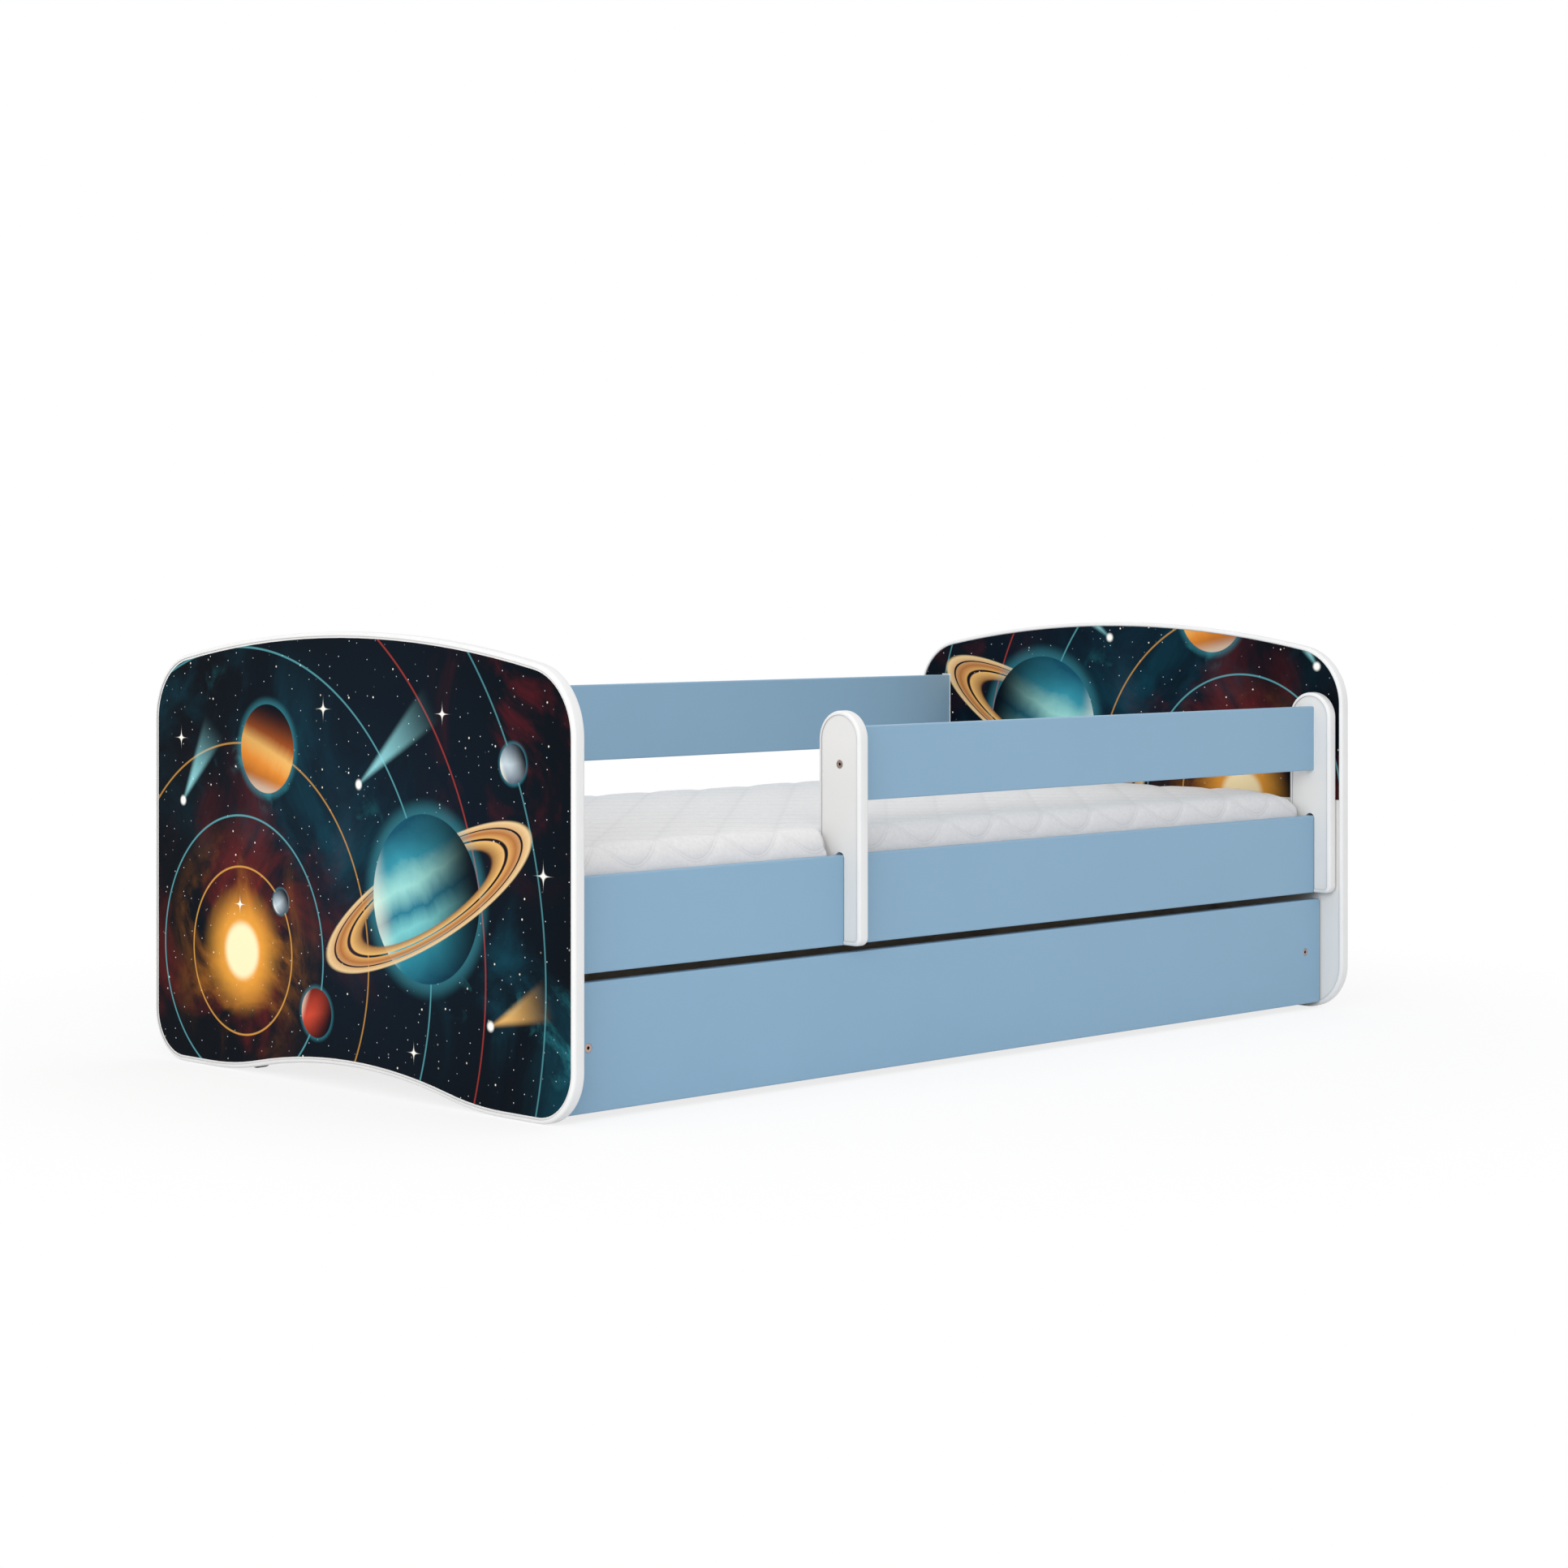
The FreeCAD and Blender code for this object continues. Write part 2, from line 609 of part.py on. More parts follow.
def mattress_solid():
    """Quilted mattress: crowned top in diamonds, rounded rim, sides drawn in towards the base.

    The top is a grid of half quilt periods. Its crossings are low and its diamond centres high, and each
    square folds along the stitch line between its two low corners. Below the top, the rim and the sides are
    contours of the grid's border, each with its own inset and height.
    """
    half_x = mattress_length / 2 - mattress_edge_round
    half_y = mattress_width / 2 - mattress_edge_round
    columns = 2 * round(2 * half_x / quilt_period)
    rows = 2 * round(2 * half_y / quilt_period)
    xs = [-half_x + 2 * half_x * i / columns for i in range(columns + 1)]
    ys = [-half_y + 2 * half_y * j / rows for j in range(rows + 1)]
    middle_y = (front_in_y + back_in_y) / 2

    def top(i, j):
        return Vector(xs[i], ys[j] + middle_y, mattress_height(xs[i], ys[j], (i + j) % 2 == 0))

    border = [(i, 0) for i in range(columns)] + [(columns, j) for j in range(rows)]
    border += [(columns - i, rows) for i in range(columns)] + [(0, rows - j) for j in range(rows)]

    def contour(inset, height):
        """Border of the grid moved outwards to an inset from the mattress's sides."""
        grow = mattress_edge_round - inset
        points = []
        for i, j in border:
            out_x = (i == columns) - (i == 0)
            out_y = (j == rows) - (j == 0)
            share = 1 / math.hypot(out_x, out_y)
            points.append(Vector(xs[i] + grow * out_x * share, ys[j] + middle_y + grow * out_y * share, height))
        return points

    edge = mattress_base + mattress_thickness - mattress_crown - quilt_depth
    round_z = edge - mattress_edge_round
    turns = [math.pi / 2 * k / mattress_round_steps for k in range(1, mattress_round_steps + 1)]
    levels = [(mattress_edge_round * (1 - math.sin(t)), round_z + mattress_edge_round * math.cos(t)) for t in turns]
    levels.append((mattress_side_pull, mattress_base + mattress_foot_round))
    levels.append((mattress_side_pull + mattress_foot_round, mattress_base))
    rings = [[top(i, j) for i, j in border]] + [contour(*level) for level in levels]
    triangles = []
    for i in range(columns):
        for j in range(rows):
            a, b, c, d = top(i, j), top(i + 1, j), top(i + 1, j + 1), top(i, j + 1)
            triangles += [(a, b, c), (a, c, d)] if (i + j) % 2 == 0 else [(a, b, d), (b, c, d)]
    for upper, lower in zip(rings, rings[1:]):
        for k in range(len(border)):
            n = (k + 1) % len(border)
            triangles += [(upper[k], lower[k], lower[n]), (upper[k], lower[n], upper[n])]
    faces = [Part.Face(Part.makePolygon([a, b, c, a])) for a, b, c in triangles]
    faces.append(Part.Face(Part.makePolygon(rings[-1] + rings[-1][:1])))
    shell = Part.makeShell(faces)
    shell.sewShape()
    solid = Part.makeSolid(shell)
    if solid.Volume < 0:
        solid.reverse()
    return solid.cut([post_dent(low_x) for low_x in (guard_left_x - board_thickness, guard_right_x)])


def post_dent(low_x):
    """Room that a post's rear leg presses into the mattress, with flared sides."""
    low = low_x - edging_lip - dent_room
    high = low_x + board_thickness + edging_lip + dent_room
    deep = front_mid_y + post_width / 2 + dent_room
    low_z = mattress_base - cut_overrun
    corners = [(low - dent_flare, front_in_y), (high + dent_flare, front_in_y), (high, deep), (low, deep)]
    points = [Vector(x, y, low_z) for x, y in corners]
    face = Part.Face(Part.makePolygon(points + points[:1]))
    return face.extrude(Vector(0, 0, mattress_thickness + 2 * cut_overrun))


# The assembly

def build():
    """Every piece by its name. A list stands for like fasteners that share a node."""
    nodes = {}
    low_cam = slat_low + cam_batten_clearance
    high_cam = side_panel_top - cam_edge_distance
    front_cams, front_dowels = panel_fittings(front_mid_y, low_cam, high_cam)
    back_cams, back_dowels = panel_fittings(back_mid_y, low_cam, high_cam)
    rail_cams, rail_dowels = panel_fittings(back_mid_y, back_rail_low + cam_edge_distance,
                                            back_rail_low + back_rail_height - cam_edge_distance)
    cams = front_cams + back_cams + rail_cams
    frame_dowels = front_dowels + back_dowels + rail_dowels

    board_bores = [cam_bolt(joint, out, fit_gap) for joint, out in cams]
    board_bores += [dowel(joint, out, fitting_bite, fit_gap) for joint, out in frame_dowels]
    foot, foot_edging = edged_panel(end_board_outline, -inner_x - board_thickness, -inner_x)
    head, head_edging = edged_panel(end_board_outline, inner_x, inner_x + board_thickness)
    nodes["footboard_panel"] = foot.cut(board_bores)
    nodes["footboard_edging"] = foot_edging
    nodes["headboard_panel"] = head.cut(board_bores)
    nodes["headboard_edging"] = head_edging
    nodes["footboard_print"], nodes["headboard_print"] = end_board_films()

    batten_front, batten_back, batten_screws, batten_holes = slat_battens()
    front = fitted_panel(front_mid_y, side_panel_low, side_panel_height, 1, front_cams, front_dowels)
    back = fitted_panel(back_mid_y, side_panel_low, side_panel_height, -1, back_cams, back_dowels)
    nodes["side_panel_front"] = front.cut(batten_holes)
    nodes["side_panel_back"] = back.cut(batten_holes)
    nodes["back_rail"] = fitted_panel(back_mid_y, back_rail_low, back_rail_height, 1, rail_cams, rail_dowels)
    nodes["cam_bolts"] = [cam_bolt(joint, out) for joint, out in cams]
    nodes["cam_discs"] = [cam_disc(joint, out, 1) for joint, out in front_cams + rail_cams]
    nodes["cam_discs"] += [cam_disc(joint, out, -1) for joint, out in back_cams]
    nodes["frame_dowels"] = [dowel(joint, out, fitting_bite) for joint, out in frame_dowels]

    nodes["slat_batten_front"] = batten_front
    nodes["slat_batten_back"] = batten_back
    nodes["batten_screws"] = batten_screws
    for k, slat in enumerate(slats(), 1):
        nodes[f"slat_{k:02d}"] = slat
    nodes["slat_tape_front"] = slat_tape(front_in_y + tape_setback)
    nodes["slat_tape_back"] = slat_tape(back_in_y - tape_setback)

    guard_screws, guard_dowels = guard_joints()
    guard_bores = [socket_screw(point, way, fit_gap) for point, way in guard_screws]
    guard_bores += [dowel(point, way, fitting_bite, fit_gap) for point, way in guard_dowels]
    left, left_edging = guard_post(guard_left_x - board_thickness, guard_bores)
    right, right_edging = guard_post(guard_right_x, guard_bores)
    nodes["guard_post_left"] = left
    nodes["guard_post_left_edging"] = left_edging
    nodes["guard_post_right"] = right
    nodes["guard_post_right_edging"] = right_edging
    rail = rounded_box((guard_left_x, front_out_y, guard_rail_low),
                       (guard_right_x, front_in_y, guard_rail_low + guard_rail_height), panel_round)
    nodes["guard_rail"] = rail.cut(guard_bores)
    nodes["guard_screws"] = [socket_screw(point, way) for point, way in guard_screws]
    nodes["guard_dowels"] = [dowel(point, way, fitting_bite) for point, way in guard_dowels]

    drawer_screws, drawer_dowels = drawer_joints()
    bores = [socket_screw(point, way, fit_gap) for point, way in drawer_screws]
    bores += [dowel(point, way, fitting_bite, fit_gap) for point, way in drawer_dowels]
    axles = []
    bracket_screws = []
    for corner, side, mid_y in wheel_places():
        bracket, wheel, axle, screws, holes = wheel_unit(side, mid_y)
        nodes[f"wheel_bracket_{corner}"] = bracket
        nodes[f"wheel_{corner}"] = wheel
        axles.append(axle)
        bracket_screws += screws
        bores += holes[1:]
    names = ("front", "side_left", "side_right", "back", "bottom", "bottom_brace")
    for name, piece in zip(names, drawer_box(bores)):
        nodes[f"drawer_{name}"] = piece
    nodes["wheel_axles"] = axles
    nodes["bracket_screws"] = bracket_screws
    nodes["drawer_screws"] = [socket_screw(point, way) for point, way in drawer_screws]
    nodes["drawer_dowels"] = [dowel(point, way, fitting_bite) for point, way in drawer_dowels]

    nodes["mattress"] = mattress_solid()
    return nodes


os.makedirs("parts", exist_ok=True)
for name, shape in build().items():
    solid = Part.makeCompound(shape) if isinstance(shape, list) else shape
    solid.exportStep(f"parts/{name}.step")
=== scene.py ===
from functools import partialmethod
from math import atan2, cos, hypot, pi, radians, sin, sqrt

import bmesh
import bpy
import numpy as np
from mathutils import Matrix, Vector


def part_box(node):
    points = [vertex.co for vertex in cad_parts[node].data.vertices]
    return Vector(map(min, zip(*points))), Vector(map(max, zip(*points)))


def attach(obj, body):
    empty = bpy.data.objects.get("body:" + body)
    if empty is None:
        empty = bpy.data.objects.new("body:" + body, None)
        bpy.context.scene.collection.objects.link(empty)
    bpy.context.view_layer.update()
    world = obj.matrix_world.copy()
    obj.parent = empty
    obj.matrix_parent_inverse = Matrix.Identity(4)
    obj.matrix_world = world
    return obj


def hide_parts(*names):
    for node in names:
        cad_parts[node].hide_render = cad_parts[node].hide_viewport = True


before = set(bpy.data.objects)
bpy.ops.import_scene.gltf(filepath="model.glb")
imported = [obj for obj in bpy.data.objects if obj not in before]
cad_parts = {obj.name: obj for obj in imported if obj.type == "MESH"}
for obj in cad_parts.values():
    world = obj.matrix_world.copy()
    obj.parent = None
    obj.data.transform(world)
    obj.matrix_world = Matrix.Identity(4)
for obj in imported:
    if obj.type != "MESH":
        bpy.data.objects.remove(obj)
scene = bpy.context.scene
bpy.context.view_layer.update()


# ---- End boards ----------------------------------------------------------------------------
# The head and foot boards, the guard posts and the drawer's box are 16 mm chipboard faced with
# white melamine. The press plate leaves a fine pebble in the face, and the colour is nearly even.

noise_low, noise_high = 0.3, 0.7  # nearly all values of a noise lie between these


def linear(colour):
    """A screen colour in steps of 0 to 255 as linear light; light or an output stays as it is."""
    if isinstance(colour, bpy.types.NodeSocket) or len(colour) == 4:
        return colour
    screen = np.array(colour) / 255
    light = np.where(screen <= 0.04045, screen / 12.92, ((screen + 0.055) / 1.055) ** 2.4)
    return (*light.tolist(), 1.0)


def feed(node, socket, output):
    """Links an output to a node's socket."""
    node.id_data.links.new(output, node.inputs[socket])


def add(near, kind, inputs=(), **settings):
    """Adds one shader node to the tree that near is in; inputs maps a socket to a value or to the
    output that feeds it."""
    made = near.id_data.nodes.new(kind)
    for name, value in settings.items():
        setattr(made, name, value)
    for socket, value in dict(inputs).items():
        if isinstance(value, bpy.types.NodeSocket):
            feed(made, socket, value)
        else:
            made.inputs[socket].default_value = value
    return made.outputs


def new_material(name, constants):
    """A new material, its shader with constants on their own sockets, and its object space."""
    material = bpy.data.materials.new(name)
    material.use_nodes = True
    shader = material.node_tree.nodes["Principled BSDF"]
    for socket, value in constants.items():
        shader.inputs[socket].default_value = value
    return material, shader, add(shader, "ShaderNodeTexCoord")["Object"]


def grain(place, scale, detail=2.0, stretch=(1, 1, 1), roughness=0.5, warp=0.0):
    """Cloudy noise from 0 to 1, its cells 1/scale metres wide, drawn out where stretch is small."""
    drawn = add(place, "ShaderNodeMapping", {"Vector": place, "Scale": stretch})[0]
    inputs = {"Vector": drawn, "Scale": scale, "Detail": detail, "Roughness": roughness,
              "Distortion": warp}
    return add(place, "ShaderNodeTexNoise", inputs)[0]


def tones(amount, stops):
    """Colours that follow an amount, from (amount, colour) stops in rising order."""
    made = amount.id_data.nodes.new("ShaderNodeValToRGB")
    feed(made, 0, amount)
    ramp = made.color_ramp.elements
    while len(ramp) < len(stops):
        ramp.new(0.5)
    for element, (position, colour) in zip(ramp, stops):
        element.position = position
        element.color = linear(colour)
    return made.outputs[0]


def between(amount, low, high, first, last):
    """A number that eases from first to last while the amount goes from low to high."""
    inputs = {"Value": amount, "From Min": low, "From Max": high, "To Min": first, "To Max": last}
    return add(amount, "ShaderNodeMapRange", inputs, interpolation_type="SMOOTHSTEP")[0]


def coat(shader, tone, cause, smooth, rough, low=noise_low, high=noise_high):
    """Sets the colour, and a roughness from smooth to rough as its cause goes from low to high."""
    feed(shader, "Base Color", tone)
    feed(shader, "Roughness", between(cause, low, high, smooth, rough))


def relief(shader, height, depth, strength):
    """Fine relief on the surface, depth metres from the height's 0 to its 1."""
    inputs = {"Height": height, "Distance": depth, "Strength": strength}
    feed(shader, "Normal", add(shader, "ShaderNodeBump", inputs)[0])


def melamine(name, colour, shade):
    """A melamine face: the colour drifts by a hair over a hand's width under a 2 mm pebble."""
    material, shader, place = new_material(name, {"Specular IOR Level": 0.2})
    drift = grain(place, scale=6.0, detail=3.0)
    pebble = grain(place, scale=520.0)
    tone = tones(drift, [(noise_low, shade), (noise_high, colour)])
    coat(shader, tone, pebble, smooth=0.36, rough=0.48)
    relief(shader, pebble, depth=0.00006, strength=0.5)
    return material


def paint(material, *names):
    """Gives CAD nodes a finish."""
    for name in names:
        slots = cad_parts[name].data.materials
        slots.clear()
        slots.append(material)


white_board = melamine("white_board", (226, 225, 223), (222, 221, 219))
paint(white_board, "footboard_panel", "headboard_panel", "guard_post_left", "guard_post_right")


# ---- Edging of the end boards --------------------------------------------------------------
# A soft white plastic edging grips the whole rim of each end board. It is extruded as a U with a
# rounded crest and two thin lips, pressed on from outside, and its ends meet under a foot.

edging_lip = 0.0015
edging_crest = 0.003
edging_reach = 0.006
edging_round = 0.0045
lip_round = 0.0005
board_thickness = 0.016


def straight(start, end, normal, steps):
    """Rows of y, z and outward normal along a line, up to but not including its end."""
    share = np.linspace(0, 1, steps, endpoint=False)[:, None]
    points = np.array(start) + share * (np.array(end) - np.array(start))
    return np.hstack([points, np.broadcast_to(np.array(normal, float), points.shape)])


def bend(centre, radius, first, last, steps, hollow=False):
    """Rows of y, z and outward normal round an arc, its angles from +Y towards +Z in radians."""
    turn = np.linspace(first, last, steps, endpoint=False)
    ray = np.column_stack([np.cos(turn), np.sin(turn)])
    return np.hstack([np.array(centre) + radius * ray, -ray if hollow else ray])


def edging_section(low_x):
    """Closed section of the edging: rows of x, inset from the rim and strength of the painted shade
    line where the lip ends on the board.

    From the channel under the low lip it goes out round the lip's end, over the lip, and round the
    crest's corner, a quarter circle; the other half is its mirror image.
    """
    corner = np.linspace(0, pi / 2, 9)
    corner_x = edging_round * (1 - np.cos(corner)) - edging_lip
    corner_inset = edging_round * (1 - np.sin(corner))
    arris = np.linspace(0, pi / 2, 5)
    arris_x = lip_round * (1 - np.sin(arris)) - edging_lip
    arris_inset = edging_reach - lip_round * (1 - np.cos(arris))
    low = np.vstack([
        [[0.0, edging_crest, 0.0], [0.0, edging_reach, 1.0]],
        np.column_stack([arris_x, arris_inset, np.linspace(1.0, 0.5, len(arris))]),
        np.column_stack([corner_x, corner_inset, np.zeros_like(corner)]),
    ])
    high = low[::-1] * [-1, 1, 1] + [board_thickness, 0, 0]
    return np.vstack([low, high]) + [low_x, 0, 0]


def carried(path, section):
    """Grid of points: the section's x stays, its inset is taken off the path along the normal."""
    rim = path[:, None, :2] - section[None, :, 1:2] * path[:, None, 2:]
    across = np.broadcast_to(section[None, :, :1], (*rim.shape[:2], 1))
    return np.concatenate([across, rim], axis=2)


def patch(grid, ring_rows=False, ring_columns=False, lids=False):
    """Points, quads and lids of a grid, joined round where asked. A lid is a face on an end row."""
    rows, columns = grid.shape[:2]
    index = np.arange(rows * columns).reshape(rows, columns)
    ends = index[[0, -1]] if lids else index[:0]
    index = np.pad(index, ((0, ring_rows), (0, ring_columns)), mode="wrap")
    quads = np.stack([index[:-1, :-1], index[1:, :-1], index[1:, 1:], index[:-1, 1:]], axis=-1)
    return grid.reshape(-1, 3), quads.reshape(-1, 4), ends


def placed(name, data):
    """A new object in the scene that shows a mesh, a lamp or a camera."""
    made = bpy.data.objects.new(name, data)
    scene.collection.objects.link(made)
    return made


def piece(name, patches, material, crease=35.0, **marks):
    """One object from patches: doubles merged, faces turned outwards, sharp only past the crease
    angle. Marks are numbers for each point, kept as attributes that the material reads."""
    points = np.vstack([part[0] for part in patches])
    starts = np.cumsum([0] + [len(part[0]) for part in patches])
    faces = []
    for start, (_, quads, ends) in zip(starts, patches):
        faces += (quads + start).tolist() + (ends + start).tolist()
    mesh = bpy.data.meshes.new(name)
    mesh.from_pydata(points.tolist(), [], faces)
    for mark, values in marks.items():
        kept = mesh.attributes.new(mark, "FLOAT", "POINT")
        kept.data.foreach_set("value", np.ravel(values).astype(np.float32))
    work = bmesh.new()
    work.from_mesh(mesh)
    bmesh.ops.remove_doubles(work, verts=work.verts, dist=1e-6)
    bmesh.ops.recalc_face_normals(work, faces=work.faces)
    work.to_mesh(mesh)
    work.free()
    mesh.shade_smooth()
    mesh.set_sharp_from_angle(angle=radians(crease))
    mesh.materials.append(material)
    return placed(name, mesh)


def end_board_rim():
    """An end board's outline: foot, heel, upright side, shoulder, crown and back, then the arch."""
    low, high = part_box("footboard_edging")
    half = (high[1] - low[1]) / 2
    crown_radius, shoulder_radius, heel_radius = 2.1, 0.096, 0.072
    arch_share, arch_rise, apex_share = 0.824, 0.032, 0.65
    crown_z = high[2] - crown_radius
    shoulder_y, heel_y = half - shoulder_radius, half - heel_radius
    shoulder_z = crown_z + sqrt((crown_radius - shoulder_radius) ** 2 - shoulder_y ** 2)
    lean = atan2(shoulder_z - crown_z, shoulder_y)
    arch_y = arch_share * heel_y
    apex_reach, apex_drop = arch_y * apex_share, arch_rise * apex_share
    apex_radius = (apex_reach ** 2 + apex_drop ** 2) / (2 * apex_drop)
    foot_reach, foot_rise = arch_y - apex_reach, arch_rise - apex_drop
    foot_radius = (foot_reach ** 2 + foot_rise ** 2) / (2 * foot_rise)
    swing = 2 * atan2(arch_rise, arch_y)
    up, left, down = pi / 2, pi, 3 * pi / 2
    return np.vstack([
        straight((arch_y, 0), (heel_y, 0), (0, -1), 6),
        bend((heel_y, heel_radius), heel_radius, -up, 0, 24),
        straight((half, heel_radius), (half, shoulder_z), (1, 0), 24),
        bend((shoulder_y, shoulder_z), shoulder_radius, 0, lean, 28),
        bend((0, crown_z), crown_radius, lean, left - lean, 110),
        bend((-shoulder_y, shoulder_z), shoulder_radius, left - lean, left, 28),
        straight((-half, shoulder_z), (-half, heel_radius), (-1, 0), 24),
        bend((-heel_y, heel_radius), heel_radius, left, down, 24),
        straight((-heel_y, 0), (-arch_y, 0), (0, -1), 6),
        bend((-arch_y, foot_radius), foot_radius, down, down + swing, 16),
        bend((0, arch_rise - apex_radius), apex_radius, up + swing, up - swing, 60, hollow=True),
        bend((arch_y, foot_radius), foot_radius, down - swing, down, 16),
    ])


def mixed(amount, under, over):
    """One colour laid over another: only the lower one at an amount of 0, only the upper at 1."""
    inputs = {0: amount, 6: linear(under), 7: linear(over)}
    return add(amount, "ShaderNodeMix", inputs, data_type="RGBA")[2]


def marked(near, name):
    """The number that a piece keeps at its points under a name, or 0 where it keeps none."""
    return add(near, "ShaderNodeAttribute", attribute_name=name)["Fac"]


def soft_edging(name, colour, shade, lip_shade_grey):
    """Soft white plastic: satin, faintly uneven from the die, dulled by hands, with a painted shade
    line in grey where each lip ends on the board.
    """
    material, shader, place = new_material(name, {"Specular IOR Level": 0.25})
    drift = grain(place, scale=18.0, detail=4.0)
    tone = tones(drift, [(noise_low, shade), (0.72, colour)])
    # Painted shade: a grey line where each lip ends on the board, in place of the shadow at its
    # step.
    tone = mixed(marked(shader, "joint"), tone, lip_shade_grey)
    smear = grain(place, scale=60.0, detail=4.0)
    coat(shader, tone, smear, smooth=0.3, rough=0.44)
    relief(shader, grain(place, scale=900.0), depth=0.00003, strength=0.4)
    return material


# The last colour is the painted shade grey of the line at the lips' ends.
white_edging = soft_edging("white_edging", (229, 229, 229), (225, 225, 225), (166, 166, 166))


def edging_strip(name, panel, path, closed):
    """The edging of one panel along a path: a closed loop or an open run with a lid on each end."""
    low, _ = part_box(panel)
    section = edging_section(low[0])
    rim = carried(path, section)
    return piece(name, [patch(rim, closed, True, not closed)], white_edging,
                 joint=np.broadcast_to(section[:, 2], rim.shape[:2]))


board_rim = end_board_rim()
for board in ("footboard", "headboard"):
    edging = edging_strip(board + "_edging_strip", board + "_panel", board_rim, closed=True)
    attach(edging, "frame")
    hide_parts(board + "_edging")


# ---- Printed films -------------------------------------------------------------------------
# A thin printed film is glued to the foot board's outer face and the head board's inner face.
# It shows a night sky with planets, orbits and comets, and stops just short of the edging.

class Field:
    """A number that changes over a surface, held as a shader output; sums on it add Math nodes."""

    def __init__(self, output):
        self.output = output

    def step(self, operation, *others):
        """The number after one Math node, with other numbers on its further sockets."""
        inputs = {0: self.output}
        for socket, other in enumerate(others, 1):
            inputs[socket] = other.output if isinstance(other, Field) else float(other)
        return Field(add(self.output, "ShaderNodeMath", inputs, operation=operation)[0])

    __add__ = partialmethod(step, "ADD")
    __sub__ = partialmethod(step, "SUBTRACT")
    __mul__ = partialmethod(step, "MULTIPLY")
    __abs__ = partialmethod(step, "ABSOLUTE")
    root = partialmethod(step, "SQRT")

    def fade(self, low, high):
        """0 at low and 1 at high, eased between them; low may be the larger."""
        return Field(between(self.output, low, high, 0.0, 1.0))


def night_sky(name, rise, spread):
    """A printed sky: nearly black blue, drifts of coloured haze, stars, planets, orbits and comets.

    Each motif is a cover from 0 to 1 worked out from distances in the board's plane, and is laid
    over what is under it. The plane is moved by rise and widened by spread, so two boards differ.
    From a centre, reach is the root of the squared offsets; along and beside are the offsets turned
    by an angle of lean. A cloud's shift takes its noise from another place.
    """
    material, shader, place = new_material(name, {"Specular IOR Level": 0.02})
    moved = {"Vector": place, "Location": (0, 0, rise), "Scale": spread}
    place = add(place, "ShaderNodeMapping", moved)[0]
    parts = add(place, "ShaderNodeSeparateXYZ", {0: place})
    across, up = Field(parts[1]) * -1, Field(parts[2])
    flat = add(place, "ShaderNodeCombineXYZ", {0: across.output, 1: up.output})[0]

    def lay(under, over, cover):
        return mixed(cover.output, under, over)

    def cloud(scale, warp, shift):
        inputs = {"Vector": flat, "Location": (shift, shift, shift)}
        shifted = add(place, "ShaderNodeMapping", inputs)[0]
        return Field(grain(shifted, scale, detail=8.0, roughness=0.6, warp=warp))

    def offset(centre):
        return across - centre[0], up - centre[1]

    def reach(centre):
        side, above = offset(centre)
        return (side * side + above * above).root()

    def along(centre, lean):
        side, above = offset(centre)
        return side * cos(lean) + above * sin(lean)

    def beside(centre, lean):
        side, above = offset(centre)
        return above * cos(lean) - side * sin(lean)

    sun = (-0.25, 0.17)
    from_sun = reach(sun)
    sky = lay((7, 13, 20), (11, 24, 36), reach((0.05, 0.32)).fade(0.5, 0.05))

    slant = abs(up - 0.33 + across * 0.5)
    rose = reach((0.36, 0.50)).fade(0.24, 0.0)
    hazes = (
        ((20, 88, 108), slant.fade(0.24, 0.0), cloud(3.6, 0.9, 0.0).fade(0.42, 0.72), 0.5),
        ((58, 168, 178), slant.fade(0.12, 0.0), cloud(6.5, 1.2, 4.0).fade(0.54, 0.76), 0.6),
        ((128, 40, 34), from_sun.fade(0.36, 0.04), cloud(4.4, 0.8, 9.0).fade(0.42, 0.72), 0.75),
        ((206, 128, 44), from_sun.fade(0.2, 0.03), cloud(6.0, 1.0, 13.0).fade(0.42, 0.75), 1.0),
        ((138, 34, 40), rose, cloud(5.2, 0.9, 21.0).fade(0.46, 0.74), 0.6),
    )
    for colour, extent, ragged, strength in hazes:
        sky = lay(sky, colour, extent * ragged * strength)

    stars = ((46.0, 0.05, 0.35, (226, 236, 244)), (19.0, 0.036, 0.45, (255, 246, 226)))
    for scale, size, share, colour in stars:
        inputs = {"Vector": flat, "Scale": scale}
        star = add(place, "ShaderNodeTexVoronoi", inputs, voronoi_dimensions="2D")
        red = add(place, "ShaderNodeSeparateColor", {0: star["Color"]})[0]
        spot = Field(star["Distance"]).fade(size, size * 0.3)
        sky = lay(sky, colour, spot * Field(red).fade(share, 1.0))

    gold, cyan, brick_red = (240, 176, 84), (110, 196, 206), (196, 70, 60)
    orbits = ((0.118, gold, 0.6), (0.19, cyan, 0.5), (0.292, gold, 0.45),
              (0.427, cyan, 0.45), (0.54, brick_red, 0.45), (0.66, cyan, 0.35))
    for radius, colour, strength in orbits:
        line = abs(from_sun - radius).fade(0.0021, 0.0006)
        sky = lay(sky, colour, line * strength)
    sky = lay(sky, (255, 178, 70), from_sun.fade(0.1, 0.035) * 0.75)
    sky = lay(sky, (255, 236, 190), from_sun.fade(0.046, 0.032))

    def planet(under, centre, radius, lean, stops, swirl):
        """A ball lit from the sun's side: its bands follow a slanted axis and waver with noise."""
        waver = (cloud(swirl, 0.6, centre[0] * 40) - 0.5) * (0.5 * radius)
        belt = (beside(centre, lean) + waver) * (0.5 / radius) + 0.5
        face = tones(belt.output, stops)
        toward = atan2(sun[1] - centre[1], sun[0] - centre[0])
        lit = along(centre, toward) * (1 / radius)
        face = lay((7, 13, 22), face, lit.fade(-1.0, 0.45))
        face = lay(face, (255, 244, 222), lit.fade(0.62, 1.02) * 0.45)
        distance, edge = reach(centre), 0.0007
        disc = distance.fade(radius + edge, radius - edge)
        halo = distance.fade(radius * 1.22, radius * 0.98)
        return lay(lay(under, (70, 160, 176), halo * 0.35), face, disc)

